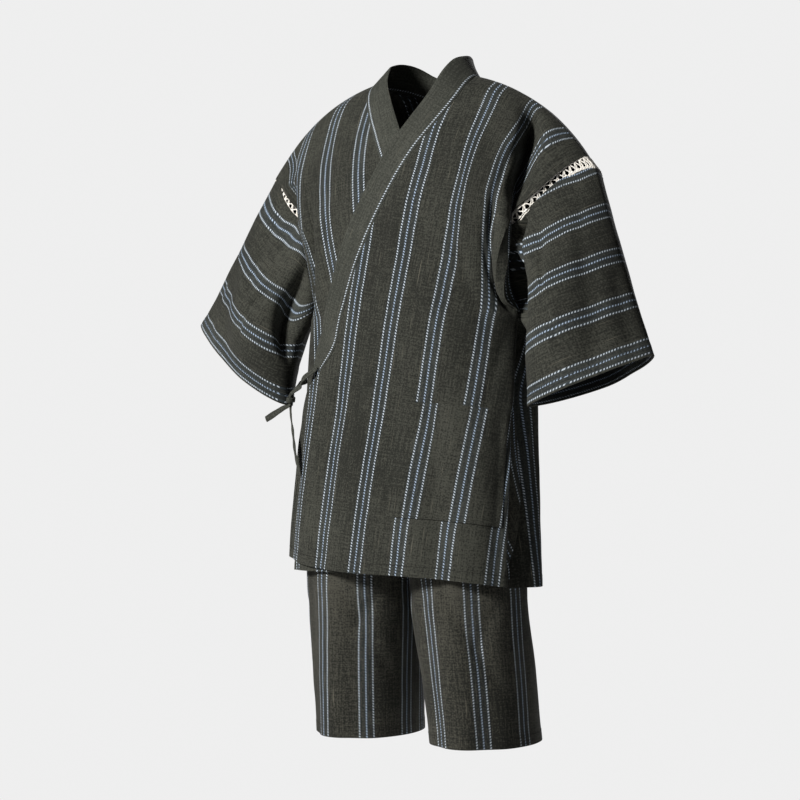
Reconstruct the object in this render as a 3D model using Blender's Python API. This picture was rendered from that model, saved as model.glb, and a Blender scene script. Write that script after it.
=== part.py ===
"""A man's summer set: a wrap jacket with wide sleeves and a pair of shorts, worn and hollow.

The front faces -Y, the wearer's left is +X, and +Z is up. The origin lies between the shoulders,
level with the shoulder line beside the collar. All lengths are in metres.
"""

import math

import bpy
import numpy as np

# Cloth
WALL = 0.002
SEAM_GAP = 0.0003
COLLAR_WALL = 0.0032
COLLAR_WIDTH = 0.042
LACE_WALL = 0.0016
OVERLAP_LIFT = 0.005
# Between these rows the over front rises off the under front, and between these places it comes back
OVERLAP_RISE_ROWS = (0.08, 0.4)
OVERLAP_END_PLACES = (0.62, 0.9)

# Grid of the cloth: cells across and along
ARMHOLE_ROWS = 12
TRUNK_ROWS = 18
BODY_COLUMNS = 13
SLEEVE_ROWS = 9
RING_DEGREES = tuple(180 * k / ARMHOLE_ROWS for k in range(2 * ARMHOLE_ROWS))
SHORTS_ROWS = 16
LEG_COLUMNS = 9
COLLAR_COLUMNS = 3

UNDERARM_HEIGHT = -0.34
JACKET_HEM = -0.70
HALF_GIRTH = 0.24
SLEEVE_RADIUS = 0.09
# The cloth hangs lower at each side seam than in the middle
SIDE_DROP = {"left": 0.016, "right": 0.005}

# The jacket along its middle, from the shoulder line (0) to the underarm (1)
CENTRE = {
    "row": (0.0, 1 / 12, 2 / 12, 3 / 12, 4 / 12, 5 / 12, 6 / 12, 8 / 12, 10 / 12, 1.0),
    "front": (0.000, -0.022, -0.037, -0.050, -0.063, -0.075, -0.083, -0.093, -0.098, -0.100),
    "front_height": (0.012, -0.004, -0.028, -0.055, -0.083, -0.112, -0.142, -0.207, -0.273, -0.340),
    "back": (0.000, 0.028, 0.049, 0.060, 0.069, 0.076, 0.081, 0.087, 0.088, 0.084),
    "back_height": (0.012, 0.006, -0.006, -0.026, -0.052, -0.082, -0.114, -0.186, -0.262, -0.340),
}

# The jacket below the underarm, one column for each section
TRUNK = {
    "height": (-0.34, -0.40, -0.46, -0.53, -0.60, -0.66, -0.70),
    "half_width": (0.180, 0.185, 0.188, 0.192, 0.196, 0.199, 0.200),
    "front": (-0.100, -0.101, -0.104, -0.112, -0.120, -0.127, -0.130),
    "back": (0.084, 0.081, 0.079, 0.078, 0.078, 0.080, 0.082),
    "seam_angle": (82.0, 78.0, 75.0, 73.0, 71.0, 70.0, 70.0),
}

# How far a section has turned where it meets the armhole, from the shoulder line to the underarm
ARMHOLE_TURN = {
    "row": (0.0, 0.25, 0.5, 0.75, 1.0),
    "front": (58.0, 62.0, 70.0, 78.0, 82.0),
    "back": (58.0, 64.0, 76.0, 90.0, 98.0),
}

# The line on which the collar is sewn to a front, then the front's free edge below the collar
FRONT_EDGE = {
    "height": (-0.70, -0.60, -0.50, -0.45, -0.42, -0.393, -0.339)
    + (-0.259, -0.182, -0.11, -0.056, -0.028, 0.02),
    "across": (-0.183, -0.177, -0.170, -0.158, -0.124, -0.096, -0.076)
    + (-0.046, -0.008, 0.030, 0.063, 0.078, 0.090),
}
UNDER_FRONT_REACH = 0.5
COLLAR_TRUNK_ROWS = 4
NECK_ROWS = 3
NECK_HALF_WIDTH = 0.090
NECK_BACK = 0.0599

# How much the collar band rises from the cloth, along its way from an end (0) to the middle back (1)
COLLAR_END_DROP = 0.020
COLLAR_LIFT = {"way": (0.0, 0.4, 0.6, 0.7, 0.8, 0.9, 1.0), "degrees": (-6.0, -5.0, 0.0, 8.0, 28.0, 54.0, 66.0)}

# Rings round an arm, each from its upper fold by the front to its lower fold and back. Mirrored on the right
ARMHOLE = {"upper": (0.262, 0.002, -0.124), "front": (0.1725, -0.061, -0.216), "back": (0.222, 0.078, -0.214)}
RING_SQUARENESS = 1.25
LEFT_SLEEVE = {
    "along": (0.0, 0.5, 1.0),
    "upper": ((0.277, -0.001, -0.1405), (0.328, -0.024, -0.265), (0.386, -0.046, -0.398)),
    "front": ((0.190, -0.051, -0.228), (0.256, -0.104, -0.325), (0.296, -0.116, -0.440)),
    "lower": ((0.191, -0.023, -0.355), (0.206, -0.055, -0.408), (0.218, -0.080, -0.466)),
    "back": ((0.236, 0.072, -0.230), (0.264, 0.054, -0.334), (0.292, 0.010, -0.438)),
}
RIGHT_SLEEVE = {
    "along": (0.0, 0.5, 1.0),
    "upper": ((0.277, -0.001, -0.1405), (0.335, 0.000, -0.243), (0.414, 0.012, -0.342)),
    "front": ((0.190, -0.051, -0.228), (0.256, -0.085, -0.325), (0.281, -0.066, -0.424)),
    "lower": ((0.191, -0.023, -0.355), (0.200, -0.040, -0.408), (0.206, -0.042, -0.464)),
    "back": ((0.236, 0.072, -0.230), (0.280, 0.066, -0.340), (0.318, 0.046, -0.428)),
}

# Soft folds of the body: a row for each, with its line from one end to the other
BODY_FOLDS = (
    # panel, sides, row and place at one end, row and place at the other, half width, depth
    ("front", "left", 0.00, 0.615, 0.62, 1.125, 0.015, -0.042),
    ("front", "left", 0.05, 0.580, 0.60, 1.240, 0.012, -0.020),
    ("front", "left right", 0.40, 0.80, 1.04, 0.935, 0.013, -0.016),
    ("front", "right", 0.00, 0.78, 0.50, 1.06, 0.010, -0.022),
    ("front", "right", 0.05, 0.74, 0.75, 0.98, 0.014, 0.006),
    ("front", "left right", 0.55, 0.50, 1.30, 0.66, 0.020, -0.004),
    ("front", "left right", 1.15, 0.30, 2.00, 0.42, 0.022, -0.005),
    ("front", "left right", 1.25, 0.08, 2.00, 0.12, 0.024, -0.003),
    ("front", "left right", 1.20, 0.78, 2.00, 0.82, 0.018, -0.005),
    ("back", "left right", 0.35, 0.86, 1.10, 0.80, 0.016, -0.010),
    ("back", "left right", 0.90, 0.52, 2.00, 0.60, 0.024, -0.006),
    ("back", "left right", 1.10, 0.20, 2.00, 0.26, 0.026, -0.005),
)

# Soft folds of a sleeve: way along and degrees round at one end, the same at the other, half width, depth
SLEEVE_FOLDS = (
    (-0.30, 92.0, 0.55, 158.0, 0.020, -0.028),
    (0.35, 40.0, 1.05, 62.0, 0.018, -0.005),
    (0.0, 250.0, 0.75, 222.0, 0.020, -0.010),
    (0.45, 318.0, 1.05, 300.0, 0.018, -0.005),
)

# The shorts, a section for each height, from the waist to the leg's hem
SHORTS = {
    "height": (-0.40, -0.46, -0.54, -0.61, -0.66, -0.685, -0.70, -0.76, -0.84, -0.94),
    "leg_centre": (0.0, 0.0, 0.008, 0.034, 0.066, 0.0850, 0.0870, 0.0890, 0.0940, 0.0985),
    "half_width": (0.142, 0.158, 0.162, 0.142, 0.108, 0.0850, 0.0845, 0.0830, 0.0780, 0.0730),
    "front": (-0.084, -0.088, -0.095, -0.101, -0.105, -0.106, -0.106, -0.102, -0.095, -0.086),
    "back": (0.050, 0.051, 0.052, 0.053, 0.054, 0.055, 0.056, 0.067, 0.086, 0.104),
}
WAISTBAND_HEIGHT = 0.034
SHORTS_FOLDS = (
    # panel, degrees round the leg, height at its top, width in degrees, depth
    ("front", 38.0, -0.58, 16.0, -0.006),
    ("front", -22.0, -0.66, 14.0, -0.005),
    ("back", 30.0, -0.60, 18.0, -0.006),
    ("back", -30.0, -0.68, 16.0, -0.005),
)

# Lace: repeats for each stretch of the armhole between two rows
LACE_REPEATS = 2
LACE_BORDER = 0.22
LACE_BAR = 0.20

# Pocket on the left front: the first and past the last of that front's rows and columns
POCKET_ROWS = (18, 27)
POCKET_COLUMNS = (7, 13)

# Ties of the right waist: points along each strip from the knot's upper side on, and its width at each
TIE_WALL = 0.0016
TIE_SEAT = 0.008
COLLAR_TIE = {
    "points": (
        (-0.158, -0.078, -0.427), (-0.171, -0.0665, -0.438), (-0.1882, -0.0665, -0.450),
        (-0.1899, -0.0665, -0.4645), (-0.200, -0.0685, -0.4695), (-0.2145, -0.0705, -0.478),
        (-0.2285, -0.072, -0.486),
    ),
    "facing": ((-0.5, -1, 0.4), (-0.3, -1, 0.2)) + ((0.0, -1, 0.0),) * 2 + ((0.3, -1, 0.3),) * 3,
    "width": (0.010, 0.0075, 0.0045, 0.0045, 0.0075, 0.0095, 0.0095),
}
SIDE_TIE = {
    "points": (
        (-0.1872, -0.045, -0.434), (-0.1882, -0.056, -0.4425), (-0.1882, -0.0635, -0.450),
        (-0.1899, -0.0635, -0.4645), (-0.1880, -0.066, -0.478), (-0.1815, -0.070, -0.504),
        (-0.1719, -0.0775, -0.535), (-0.1620, -0.0815, -0.561), (-0.1610, -0.0815, -0.5665),
    ),
    "facing": ((-1, -0.5, 0.2), (-0.5, -1, 0.2), (0.0, -1, 0.0), (0.0, -1, 0.0)) + ((-0.7, -0.8, 0.0),) * 5,
    "width": (0.010, 0.0065, 0.0045, 0.0045, 0.007, 0.011, 0.012, 0.0115, 0.008),
}
SIDE_TIE_ROW = ARMHOLE_ROWS + 4
KNOT_PLACE = (-0.1890, -0.0650, -0.457)
KNOT_AXIS = (0.12, 0.0, 1.0)
KNOT_LENGTH = 0.0075
KNOT_INNER = 0.0042
KNOT_OUTER = 0.0068
KNOT_SIDES = 12


def between(knots, values, at):
    """Smooth values between the columns of a table."""
    knots = np.asarray(knots, float)
    values = np.asarray(values, float)
    if knots[0] > knots[-1]:
        knots, values = knots[::-1], values[::-1]
    slope = np.gradient(values, knots, axis=0)
    at = np.clip(at, knots[0], knots[-1])
    k = int(np.clip(np.searchsorted(knots, at) - 1, 0, len(knots) - 2))
    step = knots[k + 1] - knots[k]
    t = (at - knots[k]) / step
    rise = 3 * t**2 - 2 * t**3
    bend_in = t**3 - 2 * t**2 + t
    bend_out = t**3 - t**2
    ends = values[k] * (1 - rise) + values[k + 1] * rise
    return ends + step * (bend_in * slope[k] + bend_out * slope[k + 1])


def unit(vectors):
    length = np.linalg.norm(vectors, axis=-1, keepdims=True)
    return vectors / np.maximum(length, 1e-12)


def ramp(value, start, end):
    """0 before start and 1 after end, smooth between."""
    t = min(max((value - start) / (end - start), 0.0), 1.0)
    return t * t * (3 - 2 * t)


def ring_point(upper, front, lower, back, degrees):
    """A point of a ring round an arm that passes through four given points."""
    upper, front, lower, back = (np.asarray(p, float) for p in (upper, front, lower, back))
    middle = (upper + lower) / 2
    turn = math.radians(degrees)
    side = front if math.sin(turn) >= 0 else back
    up = math.copysign(abs(math.cos(turn)) ** RING_SQUARENESS, math.cos(turn))
    out = abs(math.sin(turn)) ** RING_SQUARENESS
    return middle + (upper - lower) / 2 * up + (side - middle) * out


def trunk_height(row):
    """Height of a trunk row: 1 is the underarm and 2 the hem."""
    return UNDERARM_HEIGHT + (row - 1) * (JACKET_HEM - UNDERARM_HEIGHT)


def side_seam(row, side):
    """Where the front meets the back below the underarm."""
    height = trunk_height(row)
    front = between(TRUNK["height"], TRUNK["front"], height)
    back = between(TRUNK["height"], TRUNK["back"], height)
    half_width = between(TRUNK["height"], TRUNK["half_width"], height)
    seam = math.radians(between(TRUNK["height"], TRUNK["seam_angle"], height))
    drop = SIDE_DROP[side] * ramp(row, 1.0, 1.3)
    middle, depth = (front + back) / 2, (back - front) / 2
    return np.array((half_width * math.sin(seam), middle - depth * math.cos(seam), height - drop))


def armhole(degrees, side):
    """A point of the body's edge at the armhole: 0 is the shoulder, 90 the front, 180 the underarm."""
    return ring_point(ARMHOLE["upper"], ARMHOLE["front"], side_seam(1.0, side), ARMHOLE["back"], degrees)


def fold_depth(panel, side, row, place):
    depth = 0.0
    for name, sides, row_a, place_a, row_b, place_b, width, fold in BODY_FOLDS:
        if name != panel or side not in sides:
            continue
        t = (row - row_a) / (row_b - row_a)
        fade = ramp(t, 0.0, 0.35)
        if row_b < 2.0:
            fade *= 1 - ramp(t, 0.65, 1.0)
        across = (place - place_a - (place_b - place_a) * t) * HALF_GIRTH
        depth += fold * fade * math.exp(-((across / width) ** 2))
    return depth


def body_point(panel, row, place, side):
    """A point of the jacket's cloth on the left half. Place 0 is the middle and 1 the armhole or side seam."""
    across = abs(place)
    if row <= 1:
        edge = armhole(180 * row if panel == "front" else 360 - 180 * row, side)
        turn = math.radians(between(ARMHOLE_TURN["row"], ARMHOLE_TURN[panel], row))
        depth = between(CENTRE["row"], CENTRE[panel], row)
        height = between(CENTRE["row"], CENTRE[panel + "_height"], row)
    else:
        edge = side_seam(row, side)
        height = trunk_height(row)
        turn = math.radians(between(TRUNK["height"], TRUNK["seam_angle"], height))
        turn = turn if panel == "front" else math.pi - turn
        depth = between(TRUNK["height"], TRUNK[panel], height)
    angle = across * turn
    part = math.sin(angle) / math.sin(turn)
    fall = (math.cos(angle) - math.cos(turn)) / (1 - math.cos(turn))
    x = edge[0] * part
    y = edge[1] + (depth - edge[1]) * fall
    z = edge[2] + (height - edge[2]) * (1 - min(part, 1.0) ** (2.0 + 0.8 * min(part, 1.0)))
    if place < 0:
        z += 2 * (height - z)
    fold = fold_depth(panel, side, row, across)
    y += (-fold if panel == "front" else fold) * max(math.cos(angle), 0.3)
    x += fold * math.sin(min(angle, math.pi / 2)) * 0.5
    return np.array((math.copysign(x, place) if place else 0.0, y, z))


def crossing(places, beyond):
    """Where a falling row of values passes nought, between the places it is worked out for."""
    k = int(np.argmax(beyond < 0))
    t = beyond[k - 1] / (beyond[k - 1] - beyond[k])
    return places[k - 1] + t * (places[k] - places[k - 1])


def front_edge_place(row, side):
    """Where a front ends across: at the collar's seam or, lower down, at its free edge."""
    places = np.linspace(1.0, -1.1, 106)
    points = [body_point("front", row, p, side) for p in places]
    limit = np.array([between(FRONT_EDGE["height"], FRONT_EDGE["across"], p[2]) for p in points])
    if side == "right":
        limit = np.maximum(limit, limit * UNDER_FRONT_REACH)
    return crossing(places, np.array([p[0] for p in points]) - limit)


def back_edge_place(row, side):
    """Where a back ends across: at the neckline or, below it, at the middle seam."""
    if row == 0:
        return front_edge_place(row, side)
    places = np.linspace(1.0, 0.0, 51)
    points = np.array([body_point("back", row, p, side) for p in places])
    deep = np.clip(points[:, 1] / NECK_BACK, 0.0, 1.0)
    beyond = points[:, 0] - NECK_HALF_WIDTH * np.sqrt(1 - deep**2)
    if beyond[-1] >= -1e-6:
        return 0.0
    return crossing(places, beyond)


def body_rows():
    upper = np.linspace(0.0, 1.0, ARMHOLE_ROWS + 1)
    lower = np.linspace(1.0, 2.0, TRUNK_ROWS + 1)[1:]
    return np.concatenate((upper, lower))


def body_panel(panel, side):
    """Rows of points from the collar's seam or the middle back to the armhole and the side seam."""
    edge_place = front_edge_place if panel == "front" else back_edge_place
    grid, places = [], []
    for row in body_rows():
        across = np.linspace(edge_place(row, side), 1.0, BODY_COLUMNS + 1)
        grid.append([body_point(panel, row, p, side) for p in across])
        places.append(across)
    grid = np.array(grid)
    outward = -1.0 if panel == "front" else 1.0
    if (panel, side) == ("front", "left"):
        grid += grid_normals(grid) * outward * overlap_lift(places)[:, :, None]
    return grid, grid_normals(grid) * outward


def overlap_lift(places):
    """How far the left front lies out, over the right front: nothing at the shoulder and side seam."""
    lift = []
    for row, across in zip(body_rows(), places):
        rise = OVERLAP_LIFT * ramp(row, *OVERLAP_RISE_ROWS)
        lift.append([rise * (1 - ramp(place, *OVERLAP_END_PLACES)) for place in across])
    return np.array(lift)


def grid_normals(grid, closed=False):
    """Unit normals of a grid of points. A closed grid's rows are rings."""
    if closed:
        across = np.roll(grid, -1, axis=1) - np.roll(grid, 1, axis=1)
    else:
        across = np.gradient(grid, axis=1)
    along = np.gradient(grid, axis=0)
    return unit(np.cross(across, along))


def grid_faces(rows, columns, closed=False):
    faces = []
    for i in range(rows - 1):
        for j in range(columns if closed else columns - 1):
            k = (j + 1) % columns
            faces.append((i * columns + j, (i + 1) * columns + j, (i + 1) * columns + k, i * columns + k))
    return faces


def turned_over(face):
    """The same face seen from its other side, still split into triangles at its first corner."""
    return (face[0], *reversed(face[1:]))


def wall(name, middle, normals, faces, thickness, colour, lift=0.0, mirror=False):
    """A closed wall round a surface of middle points. Its open edges get a rim."""
    middle, normals = middle.reshape(-1, 3), normals.reshape(-1, 3)
    outer = middle + normals * (lift + thickness / 2)
    inner = middle + normals * (lift - thickness / 2)
    points = np.concatenate((outer, inner))
    if mirror:
        points = points * (-1.0, 1.0, 1.0)
    under = len(middle)
    edges = {}
    for face in faces:
        for a, b in zip(face, face[1:] + face[:1]):
            edges[(a, b)] = edges.get((a, b), 0) + 1
    every = [tuple(face) for face in faces]
    every += [turned_over([under + a for a in face]) for face in faces]
    for a, b in edges:
        if (b, a) in edges:
            continue
        falls = np.linalg.norm(points[b] - points[under + a]) < np.linalg.norm(points[a] - points[under + b])
        every.append((b, a, under + a, under + b) if falls else (a, under + a, under + b, b))
    used = sorted({a for face in every for a in face})
    number = {a: i for i, a in enumerate(used)}
    every = [tuple(number[a] for a in face) for face in every]
    return solid(name, points[used], every, colour)


def solid(name, points, faces, colour):
    volume = 0.0
    for face in faces:
        for k in range(1, len(face) - 1):
            volume += np.dot(points[face[0]], np.cross(points[face[k]], points[face[k + 1]]))
    if volume < 0:
        faces = [turned_over(face) for face in faces]
    mesh = bpy.data.meshes.new(name)
    mesh.from_pydata([tuple(p) for p in points], [], faces)
    mesh.shade_smooth()
    mesh.set_sharp_from_angle(angle=math.radians(40))
    mesh.materials.append(colour)
    item = bpy.data.objects.new(name, mesh)
    bpy.context.scene.collection.objects.link(item)
    return item


def material(name, colour, roughness=0.85):
    made = bpy.data.materials.new(name)
    made.use_nodes = True
    shader = made.node_tree.nodes["Principled BSDF"]
    shader.inputs["Base Color"].default_value = (*colour, 1.0)
    shader.inputs["Roughness"].default_value = roughness
    shader.inputs["Metallic"].default_value = 0.0
    return made


def pulled_in(grid, amount, edges):
    """The same grid with the named edges moved inwards along the cloth, for the gaps at its seams."""
    grid = grid.copy()
    if "top" in edges:
        grid[0] += unit(grid[1] - grid[0]) * amount
    if "bottom" in edges:
        grid[-1] += unit(grid[-2] - grid[-1]) * amount
    if "first" in edges:
        grid[:, 0] += unit(grid[:, 1] - grid[:, 0]) * amount
    if "last" in edges:
        grid[:, -1] += unit(grid[:, -2] - grid[:, -1]) * amount
    return grid


def sleeve_ring(table, along, degrees):
    corners = [between(table["along"], table[name], along) for name in ("upper", "front", "lower", "back")]
    return ring_point(*corners, degrees)


def sleeve_grid(table):
    """Rings of a sleeve from the lace to the cuff, with its soft folds."""
    grid = np.array([
        [sleeve_ring(table, along, degrees) for degrees in RING_DEGREES]
        for along in np.linspace(0.0, 1.0, SLEEVE_ROWS + 1)
    ])
    normals = grid_normals(grid, closed=True)
    for i, along in enumerate(np.linspace(0.0, 1.0, SLEEVE_ROWS + 1)):
        for j, degrees in enumerate(RING_DEGREES):
            depth = 0.0
            for along_a, degrees_a, along_b, degrees_b, width, fold in SLEEVE_FOLDS:
                t = (along - along_a) / (along_b - along_a)
                across = math.radians(degrees - degrees_a - (degrees_b - degrees_a) * t) * SLEEVE_RADIUS
                fade = ramp(t, 0.0, 0.3) * (1 - ramp(t, 0.75, 1.0))
                depth += fold * fade * math.exp(-((across / width) ** 2))
            grid[i, j] += normals[i, j] * depth
    return grid, grid_normals(grid, closed=True)


def lace_faces(first, count):
    """Two borders and a zigzag of bars, as points (way round, way across) and faces."""
    points, faces = [], []
    low, high, half = LACE_BORDER, 1 - LACE_BORDER, LACE_BAR / 2
    inner = low + (high - low) * (1 - LACE_BAR)
    outer = 1 - inner
    for k in range(count):
        at = len(points)
        local = (
            (0, 0), (1, 0), (half, low), (1 - half, low), (0.5, inner), (0, outer), (1, outer),
            (0.5 - half, high), (0.5 + half, high), (0, high), (1, high), (0, 1), (0.5, 1), (1, 1),
        )
        points += [((first + k + a), b) for a, b in local]
        shapes = (
            (0, 1, 3, 2), (0, 2, 5), (1, 6, 3), (2, 4, 7, 5), (3, 6, 8, 4),
            (4, 8, 12, 7), (9, 7, 12, 11), (8, 10, 13, 12),
        )
        faces += [tuple(at + a for a in shape) for shape in shapes]
    places = {}
    number = []
    for point in points:
        key = (round(point[0], 6), round(point[1], 6))
        number.append(places.setdefault(key, len(places)))
    faces = [tuple(number[a] for a in face) for face in faces]
    return list(places), faces


def lace(name, inner_ring, outer_ring, inner_normals, outer_normals, first, count, colour, mirror):
    """A stretch of the lace insertion between the body's armhole and the sleeve."""
    places, faces = lace_faces(first * LACE_REPEATS, count * LACE_REPEATS)
    middle, normals = [], []
    reach = np.linalg.norm(outer_ring - inner_ring, axis=1).mean()
    for way, across in places:
        step = way / LACE_REPEATS
        k = min(int(step), len(inner_ring) - 1)
        t = step - k
        m = (k + 1) % len(inner_ring)
        across = across + (SEAM_GAP / 2 / reach) * (1 - 2 * across)
        end = 0.0
        if way == first * LACE_REPEATS:
            end = SEAM_GAP / 2
        if way == (first + count) * LACE_REPEATS:
            end = -SEAM_GAP / 2
        a = inner_ring[k] * (1 - t) + inner_ring[m] * t
        b = outer_ring[k] * (1 - t) + outer_ring[m] * t
        na = inner_normals[k] * (1 - t) + inner_normals[m] * t
        nb = outer_normals[k] * (1 - t) + outer_normals[m] * t
        forward = unit(inner_ring[m] - inner_ring[k])
        middle.append(a + (b - a) * across + forward * end)
        normals.append(unit(na + (nb - na) * across))
    wall(name, np.array(middle), np.array(normals), faces, LACE_WALL, colour, mirror=mirror)


def collar_seam(front, back):
    """Seam points, outward normals and ways off the panels, from the collar's end to the middle back."""
    last = ARMHOLE_ROWS + COLLAR_TRUNK_ROWS
    rows = [(front, i) for i in range(last, -1, -1)] + [(back, i) for i in range(1, NECK_ROWS + 1)]
    seam = np.array([grid[i, 0] for (grid, _), i in rows])
    normal = np.array([normals[i, 0] for (_, normals), i in rows])
    off = np.array([grid[i, 0] - grid[i, 1] for (grid, _), i in rows])
    return seam, normal, off


def collar_band(jacket):
    """The band from the left front's waist round the neck to the right front's, with the seam's normals."""
    flip = np.array((-1.0, 1.0, 1.0))
    left = collar_seam(jacket["front", "left"], jacket["back", "left"])
    right = [part * flip for part in collar_seam(jacket["front", "right"], jacket["back", "right"])]
    count = len(left[0])
    seam, normal, off = (np.concatenate((a, b[-2::-1])) for a, b in zip(left, right))
    normal[count - 1] = unit(normal[count - 1] * (0.0, 1.0, 1.0))
    off[count - 1] = (0.0, -1.0, 0.0)
    way = np.concatenate(([0.0], np.cumsum(np.linalg.norm(np.diff(seam, axis=0), axis=1))))
    away = unit(np.cross(normal, np.gradient(seam, axis=0)))
    away *= np.sign(np.sum(away * off, axis=1, keepdims=True))
    rows, normals = [], []
    across = np.linspace(SEAM_GAP / 2, COLLAR_WIDTH, COLLAR_COLUMNS + 1)
    for i in range(len(seam)):
        share = min(way[i], way[-1] - way[i]) / way[count - 1]
        rise = math.radians(between(COLLAR_LIFT["way"], COLLAR_LIFT["degrees"], share))
        direction = away[i] * math.cos(rise) + normal[i] * math.sin(rise)
        face = normal[i] * math.cos(rise) - away[i] * math.sin(rise)
        rows.append([seam[i] + direction * a for a in across])
        normals.append([unit(normal[i] + face)] + [face] * COLLAR_COLUMNS)
    rows, normals = np.array(rows), np.array(normals)
    for end in (0, -1):
        rows[end, :, 2] -= COLLAR_END_DROP * (across - across[0]) / COLLAR_WIDTH
    share_collar_normals(jacket, "left", normals[:count, 0])
    share_collar_normals(jacket, "right", normals[: count - 2 : -1, 0] * flip)
    return rows, normals


def share_collar_normals(jacket, side, normals):
    """Gives a front and a back the collar's normals along their shared seam."""
    last = ARMHOLE_ROWS + COLLAR_TRUNK_ROWS
    jacket["front", side][1][last::-1, 0] = normals[: last + 1]
    jacket["back", side][1][: NECK_ROWS + 1, 0] = normals[last:]


def shorts_panel(panel):
    """Rows of a leg's front or back from the middle seam and inseam to the side seam."""
    grid = []
    for i in range(SHORTS_ROWS + 1):
        height = SHORTS["height"][0] + (SHORTS["height"][-1] - SHORTS["height"][0]) * i / SHORTS_ROWS
        centre = between(SHORTS["height"], SHORTS["leg_centre"], height)
        half_width = between(SHORTS["height"], SHORTS["half_width"], height)
        front = between(SHORTS["height"], SHORTS["front"], height)
        back = between(SHORTS["height"], SHORTS["back"], height)
        start = -math.asin(min(max(centre, 0.0) / half_width, 1.0))
        middle, depth = (front + back) / 2, (back - front) / 2
        row = []
        for j in range(LEG_COLUMNS + 1):
            angle = start + (math.pi / 2 - start) * j / LEG_COLUMNS
            outward = 0.0
            for name, degrees, top, width, fold in SHORTS_FOLDS:
                if name == panel:
                    across = (math.degrees(angle) - degrees) / width
                    outward += fold * ramp(top - height, 0.0, 0.12) * math.exp(-(across**2))
            x = centre + (half_width + outward) * math.sin(angle)
            y = (depth + outward) * math.cos(angle)
            row.append((max(x, 0.0), middle - y if panel == "front" else middle + y, height))
        grid.append(row)
    grid = np.array(grid)
    normals = grid_normals(grid)
    return grid, (-normals if panel == "front" else normals)


def strip(name, seat, table, colour):
    """A flat tie from the two points and facings where it is sewn on, through the points of its table."""
    points = np.array([*seat["points"], *table["points"]], float)
    face = np.array([*seat["facing"], *table["facing"]], float)
    half = np.array([table["width"][0]] * 2 + list(table["width"])).reshape(-1, 1) / 2
    tangent = unit(np.gradient(points, axis=0))
    face = unit(face - tangent * np.sum(face * tangent, axis=1, keepdims=True))
    side = np.cross(tangent, face)
    grid = np.stack((points - side * half, points, points + side * half), axis=1)
    normals = np.repeat(face[:, None, :], 3, axis=1)
    wall(name, grid, normals, grid_faces(len(points), 3), TIE_WALL, colour)


def knot(name, colour):
    """A short wrap of cloth round both ties."""
    axis = unit(np.array(KNOT_AXIS))
    side = unit(np.cross(axis, (0.0, 1.0, 0.0)))
    out = np.cross(side, axis)
    lip = (KNOT_INNER + KNOT_OUTER) / 2
    section = ((-0.5, lip), (-0.25, KNOT_OUTER), (0.25, KNOT_OUTER), (0.5, lip), (0.5, KNOT_INNER), (-0.5, KNOT_INNER))
    points, faces = [], []
    for i, (lift, radius) in enumerate(section):
        for j in range(KNOT_SIDES):
            turn = math.tau * j / KNOT_SIDES
            spoke = side * math.cos(turn) + out * math.sin(turn)
            points.append(KNOT_PLACE + axis * lift * KNOT_LENGTH + spoke * radius)
            here, over = i * KNOT_SIDES, (i + 1) % len(section) * KNOT_SIDES
            faces.append((here + j, here + (j + 1) % KNOT_SIDES, over + (j + 1) % KNOT_SIDES, over + j))
    solid(name, np.array(points), faces, colour)


def ties(jacket, band, band_normals, colour):
    """The tie sewn to the collar's end, the one sewn to the side seam, and the knot where they cross."""
    corner, edge, face = band[0, -1], unit(band[0, -2] - band[0, -1]), band_normals[0, -1]
    fall = np.cross(edge, face)
    fall = unit(fall * -np.sign(fall[2]))
    start = corner + edge * TIE_SEAT + fall * SEAM_GAP
    seat = {"points": (start, start + fall * TIE_SEAT), "facing": (face, face)}
    strip("tie_collar", seat, COLLAR_TIE, colour)
    flip = np.array((-1.0, 1.0, 1.0))
    grid, normals = jacket["front", "right"]
    face = normals[SIDE_TIE_ROW, -1] * flip
    start = grid[SIDE_TIE_ROW, -1] * flip + face * (WALL / 2 + SEAM_GAP + TIE_WALL / 2)
    way = unit(np.array(SIDE_TIE["points"][0]) - start)
    way = unit(way - face * np.dot(way, face))
    seat = {"points": (start, start + way * TIE_SEAT), "facing": (face, face)}
    strip("tie_side", seat, SIDE_TIE, colour)
    knot("tie_knot", colour)


def shared(*normals):
    """One set of normals for pieces that meet at a seam."""
    return unit(sum(normals))


def join_normals(jacket, side):
    """Gives pieces that meet at a seam the same normals there, so that their walls meet squarely."""
    front, front_normals = jacket["front", side]
    back, back_normals = jacket["back", side]
    sleeve, sleeve_normals = jacket["sleeve", side]
    half = ARMHOLE_ROWS
    front_normals[half:, -1] = back_normals[half:, -1] = shared(front_normals[half:, -1], back_normals[half:, -1])
    front_normals[0] = back_normals[0] = shared(front_normals[0], back_normals[0])
    edge = np.concatenate((front[:half, -1], back[half:0:-1, -1]))
    body_normals = np.concatenate((front_normals[:half, -1], back_normals[half:0:-1, -1]))
    lace_normals = grid_normals(np.stack((edge, sleeve[0])), closed=True)[0]
    body_normals = shared(body_normals, lace_normals)
    sleeve_normals[0] = shared(lace_normals, sleeve_normals[0])
    front_normals[: half + 1, -1] = body_normals[: half + 1]
    back_normals[half:0:-1, -1] = body_normals[half:]
    back_normals[0, -1] = body_normals[0]
    jacket["armhole", side] = edge, body_normals


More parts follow.
